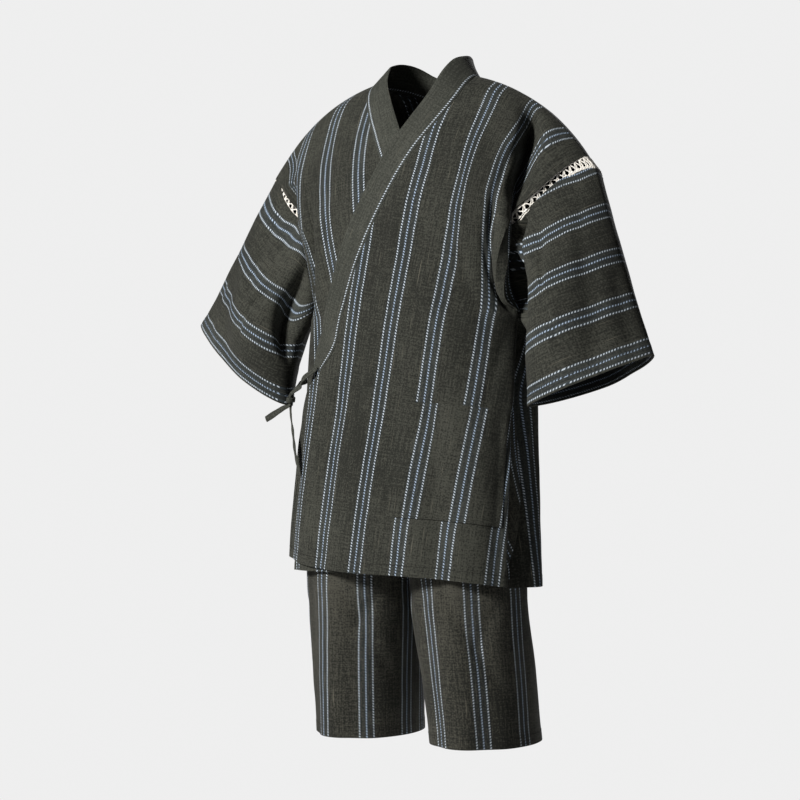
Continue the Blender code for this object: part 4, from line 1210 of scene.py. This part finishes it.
# Colours, as linear light
CLOTH_DARK = (0.0120, 0.0128, 0.0100)
CLOTH_LIGHT = (0.045, 0.0465, 0.0375)
SLUB = (0.135, 0.128, 0.100)
PLAIN_DARK = (0.024, 0.026, 0.021)
PLAIN_LIGHT = (0.056, 0.0585, 0.049)
SHORTS_LIGHT = (0.056, 0.0545, 0.0435)
STRIPE_TINT = (0.036, 0.052, 0.066)
STRIPE_BLUE = (0.38, 0.47, 0.61)
STRIPE_PALE = (0.52, 0.58, 0.65)
LACE_CREAM = (0.90, 0.88, 0.84)
LACE_SHADE = (0.76, 0.72, 0.64)
THREAD_DARK = (0.020, 0.020, 0.017)
THREAD_SHADE = (0.012, 0.012, 0.010)

# Weave: fineness across and along with a seed, then detail and roughness, for the warp, the weft, the
# grain, the fades, the long slubs and the short ones
WEAVE_NOISES = (
    ((430.0, 24.0, 1.0), (2.5, 0.62)),
    ((30.0, 430.0, 5.0), (2.5, 0.62)),
    ((400.0, 400.0, 9.0), (1.0,)),
    ((7.0, 5.0, 3.0), (3.0,)),
    ((560.0, 16.0, 21.0), (1.5,)),
    ((30.0, 640.0, 27.0), (1.5,)),
)
WARP_SHARE = 0.34
WEFT_SHARE = 0.26
GRAIN_SHARE = 0.40
FADE_SHARE = 0.22
SHADE_STEP = (0.43, 0.59)
LONG_SLUB_STEP = (0.64, 0.80)
SHORT_SLUB_STEP = (0.68, 0.82)
SHORT_SLUB_SHARE = 0.6
THREAD_PITCH = 0.0011
THREAD_HEIGHT = 0.10
SLUB_HEIGHT = 0.35

# Dotted lines: width, soft rim, length and slant of the dots, and how they waver and wear off
LINE_WIDTH = 0.0021
LINE_SOFTNESS = 0.0005
DASH = 0.0039
DASH_SLANT = 0.55
DASH_STEP = (-0.10, 0.45)
MIDDLE_DASH_SHIFT = 2.4
DASH_FINENESS = (300.0, 160.0, 14.0)
DASH_UNEVEN_STEP = (0.15, 0.50)
STRIPE_SWAY = 0.0010
STRIPE_SWAY_FINENESS = (0.0, 40.0, 2.0)
STRIPE_HEIGHT = 0.25
# The tint between a group's lines: how far it goes past them, its soft rim, its halo and its least share
TINT_REACH = 0.0022
TINT_SOFTNESS = 0.0012
TINT_HALO_STEP = (0.0008, 0.0028)
TINT_LEAST = 0.25


def place_node(tree, kind, links=None, **settings):
    """Adds a node. Links are socket values or the outputs that feed them."""
    item = tree.nodes.new(kind)
    for name, value in settings.items():
        setattr(item, name, value)
    for key, value in (links or {}).items():
        if isinstance(value, bpy.types.NodeSocket):
            tree.links.new(value, item.inputs[key])
        else:
            item.inputs[key].default_value = value
    return item


def calc(tree, operation, *values):
    """Adds a step of arithmetic."""
    return place_node(tree, "ShaderNodeMath", dict(enumerate(values)), operation=operation).outputs[0]


def blended(tree, share, first, second):
    """A colour between two others."""
    item = place_node(tree, "ShaderNodeMix", {0: share, 6: first, 7: second}, data_type="RGBA")
    return item.outputs[2]


def coloured(colour):
    """A colour with its alpha, as the nodes take it."""
    return (*colour, 1.0)


def new_tree(name, kind, inputs, outputs):
    """A node tree with named sockets, given as (name, kind, default)."""
    tree = bpy.data.node_groups.new(name, kind)
    for words, in_out in ((inputs, "INPUT"), (outputs, "OUTPUT")):
        for label, socket_kind, *default in words:
            socket = tree.interface.new_socket(label, in_out=in_out, socket_type="NodeSocket" + socket_kind)
            if default:
                socket.default_value = default[0]
    begin, end = tree.nodes.new("NodeGroupInput"), tree.nodes.new("NodeGroupOutput")
    return tree, begin.outputs, end.inputs


def sums(tree):
    """Short ways to add, take away and multiply in a shader tree."""
    return (functools.partial(calc, tree, operation) for operation in ("ADD", "SUBTRACT", "MULTIPLY"))


def scaled(tree, across, along, fine_across, fine_along, seed):
    """A vector of two lengths in metres, each with its own fineness."""
    x, y = calc(tree, "MULTIPLY", across, fine_across), calc(tree, "MULTIPLY", along, fine_along)
    return place_node(tree, "ShaderNodeCombineXYZ", {0: x, 1: y, 2: seed}).outputs[0]


def noise_at(tree, vector, detail=2.0, roughness=0.5):
    """Noise at a vector that already has its fineness."""
    links = {"Vector": vector, "Scale": 1.0, "Detail": detail, "Roughness": roughness}
    return place_node(tree, "ShaderNodeTexNoise", links).outputs[0]


def step_up(tree, value, low, high):
    """0 below low and 1 above high, smooth between."""
    links = {0: value, 1: low, 2: high, 3: 0.0, 4: 1.0}
    return place_node(tree, "ShaderNodeMapRange", links, interpolation_type="SMOOTHSTEP").outputs[0]


def weave_group():
    """Slubby plain weave: uneven warp and weft threads, large fades and a fine relief."""
    inputs = (("Across", "Float"), ("Along", "Float"))
    outputs = (("Shade", "Float"), ("Slub", "Float"), ("Height", "Float"))
    tree, given, wanted = new_tree("slub weave", "ShaderNodeTree", inputs, outputs)
    across, along = given["Across"], given["Along"]
    plus, _, times = sums(tree)
    warp, weft, grain, fade, long_slub, short_slub = (
        noise_at(tree, scaled(tree, across, along, *fineness), *detail) for fineness, detail in WEAVE_NOISES
    )
    threads = plus(times(warp, WARP_SHARE), times(weft, WEFT_SHARE))
    threads = plus(threads, times(grain, GRAIN_SHARE))
    shade = plus(times(threads, 1 - FADE_SHARE), times(fade, FADE_SHARE))
    tree.links.new(step_up(tree, shade, *SHADE_STEP), wanted["Shade"])
    short_slub = times(step_up(tree, short_slub, *SHORT_SLUB_STEP), SHORT_SLUB_SHARE)
    slub = calc(tree, "MAXIMUM", step_up(tree, long_slub, *LONG_SLUB_STEP), short_slub)
    tree.links.new(slub, wanted["Slub"])
    over, under = (calc(tree, "SINE", times(way, math.tau / THREAD_PITCH)) for way in (across, along))
    height = plus(threads, times(times(over, under), THREAD_HEIGHT))
    tree.links.new(plus(height, times(slub, SLUB_HEIGHT)), wanted["Height"])
    return tree


def stripe_group():
    """Groups of three dotted lines with a slate tint between them."""
    inputs = (
        ("Across", "Float"), ("Along", "Float"), ("Pitch", "Float", STRIPE_PITCH), ("Gap", "Float", LINE_GAP),
        ("Line Width", "Float", LINE_WIDTH), ("Dash", "Float", DASH),
    )
    outputs = (("Pale", "Float"), ("Blue", "Float"), ("Tint", "Float"))
    tree, given, wanted = new_tree("dotted stripes", "ShaderNodeTree", inputs, outputs)
    across, along, gap = given["Across"], given["Along"], given["Gap"]
    plus, less, times = sums(tree)
    sway = noise_at(tree, scaled(tree, across, along, *STRIPE_SWAY_FINENESS))
    across = plus(across, times(less(sway, 0.5), STRIPE_SWAY))
    place = calc(tree, "WRAP", across, times(given["Pitch"], 0.5), times(given["Pitch"], -0.5))
    off = calc(tree, "ABSOLUTE", place)
    beside = calc(tree, "ABSOLUTE", less(off, gap))
    half = times(given["Line Width"], 0.5)
    low, high = less(half, LINE_SOFTNESS), plus(half, LINE_SOFTNESS)
    slant = plus(along, times(place, DASH_SLANT))
    turn = times(calc(tree, "DIVIDE", slant, given["Dash"]), math.tau)
    uneven = step_up(tree, noise_at(tree, scaled(tree, across, along, *DASH_FINENESS)), *DASH_UNEVEN_STEP)
    for name, away, start in (("Pale", beside, turn), ("Blue", off, plus(turn, MIDDLE_DASH_SHIFT))):
        line = less(1.0, step_up(tree, away, low, high))
        dash = step_up(tree, calc(tree, "SINE", start), *DASH_STEP)
        tree.links.new(times(times(line, dash), uneven), wanted[name])
    edge = plus(gap, TINT_REACH)
    band = less(1.0, step_up(tree, off, less(edge, TINT_SOFTNESS), edge))
    near = calc(tree, "MINIMUM", off, beside)
    halo = less(1.0, step_up(tree, near, *TINT_HALO_STEP))
    tree.links.new(times(band, calc(tree, "MULTIPLY_ADD", halo, 1 - TINT_LEAST, TINT_LEAST)), wanted["Tint"])
    return tree


def new_material(name, **values):
    """A material with its tree and shader. Values are the shader's own, by its sockets' names."""
    made = bpy.data.materials.new(name)
    made.use_nodes = True
    shader = made.node_tree.nodes["Principled BSDF"]
    for label, value in values.items():
        shader.inputs[label.replace("_", " ")].default_value = value
    return made, made.node_tree, shader


def raised(tree, shader, height, strength, distance):
    """Relief on a shader from a height."""
    bump = place_node(tree, "ShaderNodeBump", {"Height": height, "Strength": strength, "Distance": distance})
    tree.links.new(bump.outputs[0], shader.inputs["Normal"])


def cloth_material(name, groups, dark, light, slub_share, tint_share):
    """Slubby striped cotton that follows a piece's UV map, in metres."""
    made, tree, shader = new_material(
        name, Roughness=0.86, Specular_IOR_Level=0.22, Sheen_Weight=0.06, Sheen_Roughness=0.5)
    seen = place_node(tree, "ShaderNodeUVMap", uv_map="cloth").outputs[0]
    split = place_node(tree, "ShaderNodeSeparateXYZ", {0: seen}).outputs
    weave, lines = (
        place_node(tree, "ShaderNodeGroup", {"Across": split[0], "Along": split[1]}, node_tree=group).outputs
        for group in groups
    )
    colour = blended(tree, weave["Shade"], coloured(dark), coloured(light))
    for share, over in (
        (calc(tree, "MULTIPLY", weave["Slub"], slub_share), SLUB),
        (calc(tree, "MULTIPLY", lines["Tint"], tint_share), STRIPE_TINT),
        (lines["Blue"], STRIPE_BLUE),
        (lines["Pale"], STRIPE_PALE),
    ):
        colour = blended(tree, share, colour, coloured(over))
    tree.links.new(colour, shader.inputs["Base Color"])
    height = calc(tree, "ADD", weave["Height"], calc(tree, "MULTIPLY", lines["Pale"], STRIPE_HEIGHT))
    raised(tree, shader, height, 0.55, 0.0006)
    return made


def thread_material(name, light, dark, fineness):
    """Twisted thread with uneven shade."""
    made, tree, shader = new_material(name, Roughness=0.8, Specular_IOR_Level=0.25)
    place = place_node(tree, "ShaderNodeTexCoord").outputs["Object"]
    links = {"Vector": place, "Scale": fineness, "Detail": 3.0}
    twist = place_node(tree, "ShaderNodeTexNoise", links).outputs[0]
    shade = step_up(tree, twist, 0.35, 0.62)
    tree.links.new(blended(tree, shade, coloured(dark), coloured(light)), shader.inputs["Base Color"])
    raised(tree, shader, twist, 0.5, 0.0003)
    return made


def growth_tree(name, *inputs):
    """A Geometry Nodes tree whose mesh comes in as curves, with further named inputs."""
    first = (("Geometry", "Geometry"), ("Material", "Material"))
    tree, given, wanted = new_tree(name, "GeometryNodeTree", (*first, *inputs), first[:1])
    curve = place_node(tree, "GeometryNodeMeshToCurve", {"Mesh": given["Geometry"]}).outputs[0]
    return tree, given, wanted, curve


def grown_out(tree, given, wanted, shape):
    """Ends a tree: the shape made real, with the material on it."""
    real = place_node(tree, "GeometryNodeRealizeInstances", {"Geometry": shape}).outputs[0]
    links = {"Geometry": real, "Material": given["Material"]}
    last = place_node(tree, "GeometryNodeSetMaterial", links)
    tree.links.new(last.outputs[0], wanted["Geometry"])
    return tree


def thread_growth():
    """Geometry tree: round threads along the edges of a mesh, as thick as its size attribute says."""
    tree, given, wanted, curve = growth_tree("grown threads", ("Sides", "Int", 6))
    size = place_node(tree, "GeometryNodeInputNamedAttribute", {"Name": "size"}, data_type="FLOAT")
    size = size.outputs["Attribute"]
    curve = place_node(tree, "GeometryNodeSetCurveRadius", {"Curve": curve, "Radius": size}).outputs[0]
    links = {"Resolution": given["Sides"], "Radius": 1.0}
    profile = place_node(tree, "GeometryNodeCurvePrimitiveCircle", links).outputs[0]
    links = {"Curve": curve, "Profile Curve": profile, "Fill Caps": True}
    thread = place_node(tree, "GeometryNodeCurveToMesh", links)
    if "Scale" in thread.inputs:
        tree.links.new(size, thread.inputs["Scale"])
    return grown_out(tree, given, wanted, thread.outputs[0])


def stitch_growth():
    """Geometry tree: short stitches at even steps along the edges of a mesh."""
    tree, given, wanted, curve = growth_tree(
        "stitches", ("Pitch", "Float", STITCH_PITCH), ("Length", "Float", STITCH_LENGTH),
        ("Radius", "Float", STITCH_RADIUS), ("Seed", "Int", 4))
    links = {"Curve": curve, "Length": given["Pitch"]}
    spread = place_node(tree, "GeometryNodeCurveToPoints", links, mode="LENGTH")
    links = {"Vector": spread.outputs["Tangent"]}
    turn = place_node(tree, "FunctionNodeAlignRotationToVector", links, axis="Z")
    links = {"Vertices": 6, "Radius": given["Radius"], "Depth": given["Length"]}
    bar = place_node(tree, "GeometryNodeMeshCylinder", links)
    links = {"Seed": given["Seed"], 2: STITCH_SIZES[0], 3: STITCH_SIZES[1]}
    uneven = place_node(tree, "FunctionNodeRandomValue", links, data_type="FLOAT")
    links = {"Points": spread.outputs["Points"], "Instance": bar.outputs["Mesh"], "Rotation": turn.outputs[0],
             "Scale": uneven.outputs[1]}
    put = place_node(tree, "GeometryNodeInstanceOnPoints", links)
    return grown_out(tree, given, wanted, put.outputs[0])


# Pocket: depth of its facing and of the step there, cloth turned in, edge, gaping mouth and stitches
POCKET_FACING = 0.020
POCKET_STEP = 0.001
POCKET_TURNED_IN = (0.007, 0.009)
POCKET_EDGE = 0.0019
POCKET_ROUNDING = 0.0012
POCKET_CLEARANCE = 0.0002
POCKET_GAPE = 0.0012
POCKET_GAPE_DEPTH = 0.05
POCKET_CRINKLE = 0.5
POCKET_STILL = 0.02
POCKET_STITCH = 0.0025


def pocket_piece(jacket, cloth):
    """The patch pocket: a cut of the left front's own form, its top edge faced and the rest turned in."""
    front = jacket["front", "left"]
    top, bottom = fine_row(POCKET_ROWS[0]), fine_row(POCKET_ROWS[1] - 1)
    first, last = POCKET_COLUMNS[0] * FINE_COLUMNS, (POCKET_COLUMNS[1] - 1) * FINE_COLUMNS
    i, j = np.meshgrid(np.linspace(top, bottom, (bottom - top) * 2 + 1),
                       np.linspace(first, last, (last - first) * 2 + 1), indexing="ij")
    grid, normals, uv = (sampled(front[k], i.ravel(), j.ravel()).reshape(*i.shape, -1)
                         for k in ("grid", "normals", "uv"))
    normals = unit(normals)
    down, across = lengths(grid, 0), lengths(grid, 1)
    low, side = down[-1:] - down, np.minimum(across, across[:, -1:] - across)
    folded = np.maximum(1 - ramps(down, POCKET_FACING - POCKET_STEP, POCKET_FACING + POCKET_STEP),
                        1 - ramps(np.minimum(low, side), *POCKET_TURNED_IN))
    rounding = np.clip(np.minimum(np.minimum(down, low), side) / POCKET_ROUNDING, 0.15, 1.0)
    thickness = (CLOTH + (POCKET_EDGE - CLOTH) * folded) * np.sqrt(rounding)
    wide = np.clip(across / across[:, -1:], 0, 1)
    gape = POCKET_GAPE * np.sin(math.pi * wide) ** 2 * (1 - ramps(down, 0.0, POCKET_GAPE_DEPTH))
    lift = CLOTH / 2 + POCKET_EDGE / 2 + POCKET_CLEARANCE + gape
    wave = crinkle(grid, "pocket") * POCKET_CRINKLE * ramps(side, 0.0, POCKET_STILL)
    grid = grid + normals * (lift + wave)[..., None]
    made = {"grid": grid, "normals": normals, "uv": uv - (POCKET_SHIFT, 0.0)}
    every, ends = np.arange(grid.shape[1]), np.arange(1, len(down) - 1)
    facing = [np.interp(POCKET_FACING - POCKET_STITCH, down[:, j], np.arange(len(down))) for j in every]
    foot = [np.interp(-POCKET_STITCH, -low[:, j], np.arange(len(low))) for j in every]
    left = [np.interp(POCKET_STITCH, across[i], every) for i in ends]
    right = [np.interp(across[i, -1] - POCKET_STITCH, across[i], every) for i in ends]
    lines = [seam_line(made, rows, columns, POCKET_EDGE / 2 - STITCH_SINK)
             for rows, columns in ((facing, every), (foot, every), (ends, left), (ends, right))]
    return shell("pocket_cloth", made, thickness, cloth), lines


def shorts_piece(side, cloth):
    """One leg of the shorts and the stitches of its hem."""
    leg = shorts_leg(side)
    leg["grid"] = pulled_in(leg["grid"], "first", "last")
    mirror = side == "right"
    lines = [hem_stitches(leg, mirror)]
    return shell("shorts_" + side + "_cloth", leg, hem_thickness(leg["hem"]), cloth, mirror=mirror), lines


# Waistband: steps up, depth of its gathers, their pitch, share and shift, and depth of its elastic's rows
WAISTBAND_STEPS = 19
WAISTBAND_GATHER = 0.0012
GATHERS = ((0.011, 1.0, 0.0), (0.0174, 0.5, 1.0))
WAISTBAND_SHIRR = 0.0008


def waistband_piece(cloth):
    """A gathered band on top of the shorts."""
    ring = shorts_leg("left")["grid"][0]
    ring = np.concatenate((ring, (ring * MIRROR)[-2:0:-1]))
    outward = unit((ring - ring.mean(axis=0)) * (1.0, 1.0, 0.0))
    around = lengths(np.concatenate((ring, ring[:1]))[None], 1)[0]
    gather = sum(share * np.sin(around[:-1] * math.tau / pitch + shift) for pitch, share, shift in GATHERS)
    levels = np.linspace(1.0, 0.0, WAISTBAND_STEPS)
    grid = []
    for level in levels:
        bulge = WAISTBAND_GATHER * math.sin(math.pi * level) ** 0.5 * gather
        shirr = WAISTBAND_SHIRR * math.cos(level * math.tau * 3)
        height = WAISTBAND_HEIGHT * level + SEAM_GAP * (1 - level)
        grid.append(ring + outward * (bulge + shirr)[:, None] + (0.0, 0.0, height))
    grid = np.array(grid)
    across, along = np.meshgrid(around, levels * WAISTBAND_HEIGHT)
    across = STRIPE_PITCH / 2 + 0.004 * np.sin((across + STRIPE_PITCH / 2) * 30.0)
    normals, uv = -grid_normals(grid, closed=True), np.stack((across, along), axis=-1)
    made = {"grid": grid, "normals": normals, "uv": uv}
    return shell("waistband_cloth", made, CLOTH, cloth, closed=True)


def stitch_piece(name, lines, tree, thread):
    """Stitches along lines on the cloth."""
    item = thread_mesh(name, [(line, STITCH_RADIUS) for line in lines])
    return grown(item, tree, Material=thread)


# The sagging cap's lift off the sleeve, and where across the cloth it begins
CAP_SAG_LIFT = 0.35
CAP_SAG_START = 0.80


def overhung(grid, made, arm, side):
    """The cap's edge sags over the upper part of the lace."""
    grid = grid.copy()
    half = arm["grid"].shape[1] // 2
    share = ramps(np.linspace(0.0, 1.0, grid.shape[1]), CAP_SAG_START, 1.0)
    for step in range(UNDERARM_ROW):
        row = made["seat"] - step
        reach = np.interp(step / UNDERARM_ROW, *CAP_SAG[side])
        way = unit(arm["grid"][0, half + step] - grid[row, -1])
        move = way[None, :] + made["normals"][row] * CAP_SAG_LIFT
        grid[row] += move * (reach * share)[:, None]
    return grid


# Height at which the collar ends and a front's free edge begins
COLLAR_END_HEIGHT = -0.425


def body_piece(jacket, side, cloth):
    """One half of the jacket's body and the stitches of its hems."""
    made = joined_body(jacket["front", side], jacket["back", side])
    plain, seat, mirror = made["grid"], made["seat"], side == "right"
    thickness = hem_thickness(made["hem"])
    free = lengths(plain, 1)
    below = (np.arange(len(plain)) < seat)[:, None] & (plain[:, :1, 2] < COLLAR_END_HEIGHT)
    thickness = np.where(below, np.maximum(thickness, hem_thickness(free, EDGE_HEM)), thickness)
    grid = pulled_in(plain, "first", "last")
    back_seam = np.abs(plain[:, 0, 0]) < BACK_SEAM_NEAR
    grid[back_seam, 0] = plain[back_seam, 0]
    made["grid"] = overhung(grid, made, jacket["sleeve", side], side)
    piece = shell("body_" + side + "_cloth", made, thickness, cloth, mirror=mirror)
    lines = [
        hem_stitches({name: made[name][half] for name in ("grid", "normals", "hem")}, mirror)
        for half in (slice(0, seat), slice(seat, None))
    ]
    if side == "left":
        rows = np.arange(2, np.argmax(plain[:, 0, 2] > COLLAR_END_HEIGHT))
        columns = [np.interp(EDGE_STITCH, free[i], np.arange(free.shape[1])) for i in rows]
        lines.append(seam_line(made, rows, columns, HEM_CLOTH / 2 - STITCH_SINK))
    return piece, lines


# Camera and stage, as the photograph has them
CAMERA_AZIMUTH = 32.0
CAMERA_DISTANCE = 3.0
CAMERA_HEIGHT = -0.4576
CAMERA_LENS = 93.8
CAMERA_SHIFT = -0.03
# Lamps: azimuth, elevation, distance, size, watts and, unless it is white, colour
LAMPS = {
    "key": (-22.0, 25.0, 3.4, 0.7, 172.0, (1.0, 0.98, 0.95)),
    "fill": (72.0, -22.0, 3.6, 2.0, 7.0),
    "back": (195.0, 28.0, 3.6, 2.0, 70.0),
}
FLOOR_HEIGHT = -1.44
FLOOR_RADIUS = 1.25
FLOOR_SIDES = 96
PAPER = 0.86
AMBIENT = 0.06


def camera():
    """The photograph's camera: level, and turned to the wearer's left."""
    turn = math.radians(CAMERA_AZIMUTH)
    data = bpy.data.cameras.new("camera")
    data.lens, data.sensor_width, data.shift_x = CAMERA_LENS, 36.0, CAMERA_SHIFT
    item = linked("camera", data)
    item.location = (math.sin(turn) * CAMERA_DISTANCE, -math.cos(turn) * CAMERA_DISTANCE, CAMERA_HEIGHT)
    item.rotation_euler = (math.pi / 2, 0.0, turn)
    bpy.context.scene.camera = item


def lamp(name, azimuth, elevation, distance, size, watts, colour=(1.0, 1.0, 1.0)):
    """A soft square lamp that looks at the middle of the set. Azimuth 0 is in front."""
    data = bpy.data.lights.new(name, "AREA")
    data.size, data.energy, data.color = size, watts, colour
    turn, rise = math.radians(azimuth), math.radians(elevation)
    level = math.cos(rise)
    off = Vector((math.sin(turn) * level, -math.cos(turn) * level, math.sin(rise))) * distance
    item = linked(name, data)
    item.location = Vector((0.0, 0.0, CAMERA_HEIGHT)) + off
    item.rotation_euler = off.to_track_quat("Z", "Y").to_euler()


def stage():
    """A pale floor that melts into the pale background."""
    turns = np.arange(FLOOR_SIDES) * math.tau / FLOOR_SIDES
    rim = [(math.cos(turn) * FLOOR_RADIUS, math.sin(turn) * FLOOR_RADIUS, FLOOR_HEIGHT) for turn in turns]
    mesh = bpy.data.meshes.new("floor")
    mesh.from_pydata(rim, [], [tuple(range(FLOOR_SIDES))])
    made, tree, shader = new_material("paper floor", Roughness=0.95, Specular_IOR_Level=0.1)
    place = place_node(tree, "ShaderNodeTexCoord").outputs["Object"]
    grain = place_node(tree, "ShaderNodeTexNoise", {"Vector": place, "Scale": 60.0, "Detail": 4.0}).outputs[0]
    colour = blended(tree, grain, coloured((PAPER * 0.98,) * 3), coloured((PAPER,) * 3))
    tree.links.new(colour, shader.inputs["Base Color"])
    mesh.materials.append(made)
    linked("floor", mesh)
    world = bpy.data.worlds.new("studio")
    world.use_nodes = True
    tree = world.node_tree
    background = tree.nodes["Background"].inputs
    background["Color"].default_value = coloured((PAPER,) * 3)
    seen = place_node(tree, "ShaderNodeLightPath").outputs["Is Camera Ray"]
    strength = place_node(tree, "ShaderNodeMapRange", {0: seen, 3: AMBIENT, 4: 1.0}).outputs[0]
    tree.links.new(strength, background["Strength"])
    bpy.context.scene.world = world
    bpy.context.scene.view_settings.view_transform = "Standard"


def main():
    """Builds the stage, the cloths and every piece, and ties each piece to the part."""
    camera()
    stage()
    for name, words in LAMPS.items():
        lamp(name, *words)
    groups = weave_group(), stripe_group()
    striped = cloth_material("striped slub cotton", groups, CLOTH_DARK, CLOTH_LIGHT, 0.65, 0.62)
    warm = cloth_material("striped slub cotton of the shorts", groups, CLOTH_DARK, SHORTS_LIGHT, 0.65, 0.5)
    plain = cloth_material("plain slub cotton", groups, PLAIN_DARK, PLAIN_LIGHT, 0.40, 0.3)
    cream = thread_material("lace thread", LACE_CREAM, LACE_SHADE, 900.0)
    dark = thread_material("sewing thread", THREAD_DARK, THREAD_SHADE, 1200.0)
    threads, stitches = thread_growth(), stitch_growth()

    def sewn_on(piece, lines):
        name = piece.name.replace("_cloth", "_stitches")
        return dress(stitch_piece(name, lines, stitches, dark), "plain_cloth")

    jacket = {
        (panel, side): body_panel(panel, side)
        for panel in ("front", "back") for side in ("left", "right")
    }
    jacket["sleeve", "left"] = sleeve_grid(LEFT_SLEEVE, "left")
    jacket["sleeve", "right"] = sleeve_grid(RIGHT_SLEEVE, "right")
    for side in ("left", "right"):
        piece, lines = body_piece(jacket, side, striped)
        dress(piece, "striped_cloth", "front_" + side, "back_" + side)
        sewn = sewn_on(piece, lines)
        piece, lines = sleeve(jacket, side, striped)
        dress(piece, "striped_cloth", "sleeve_" + side + "_front", "sleeve_" + side + "_back")
        sewn = sewn_on(piece, lines)
        dress(lace(jacket, side, threads, cream), "lace", "lace_" + side + "_front", "lace_" + side + "_back")
        piece, lines = shorts_piece(side, warm)
        dress(piece, "striped_cloth", "shorts_front_" + side, "shorts_back_" + side)
        sewn = sewn_on(piece, lines)
    neck, rows, normals, lines = collar(jacket, plain)
    dress(neck, "plain_cloth", "collar")
    sewn = sewn_on(neck, lines)
    patch, lines = pocket_piece(jacket, striped)
    dress(patch, "striped_cloth", "pocket")
    sewn = sewn_on(patch, lines)
    near, far, wound = ties(jacket, rows, normals, plain)
    dress(near, "plain_cloth", "tie_collar")
    dress(far, "plain_cloth", "tie_side")
    dress(wound, "plain_cloth", "tie_knot")
    band = dress(waistband_piece(plain), "plain_cloth", "waistband")
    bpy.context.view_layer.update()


main()
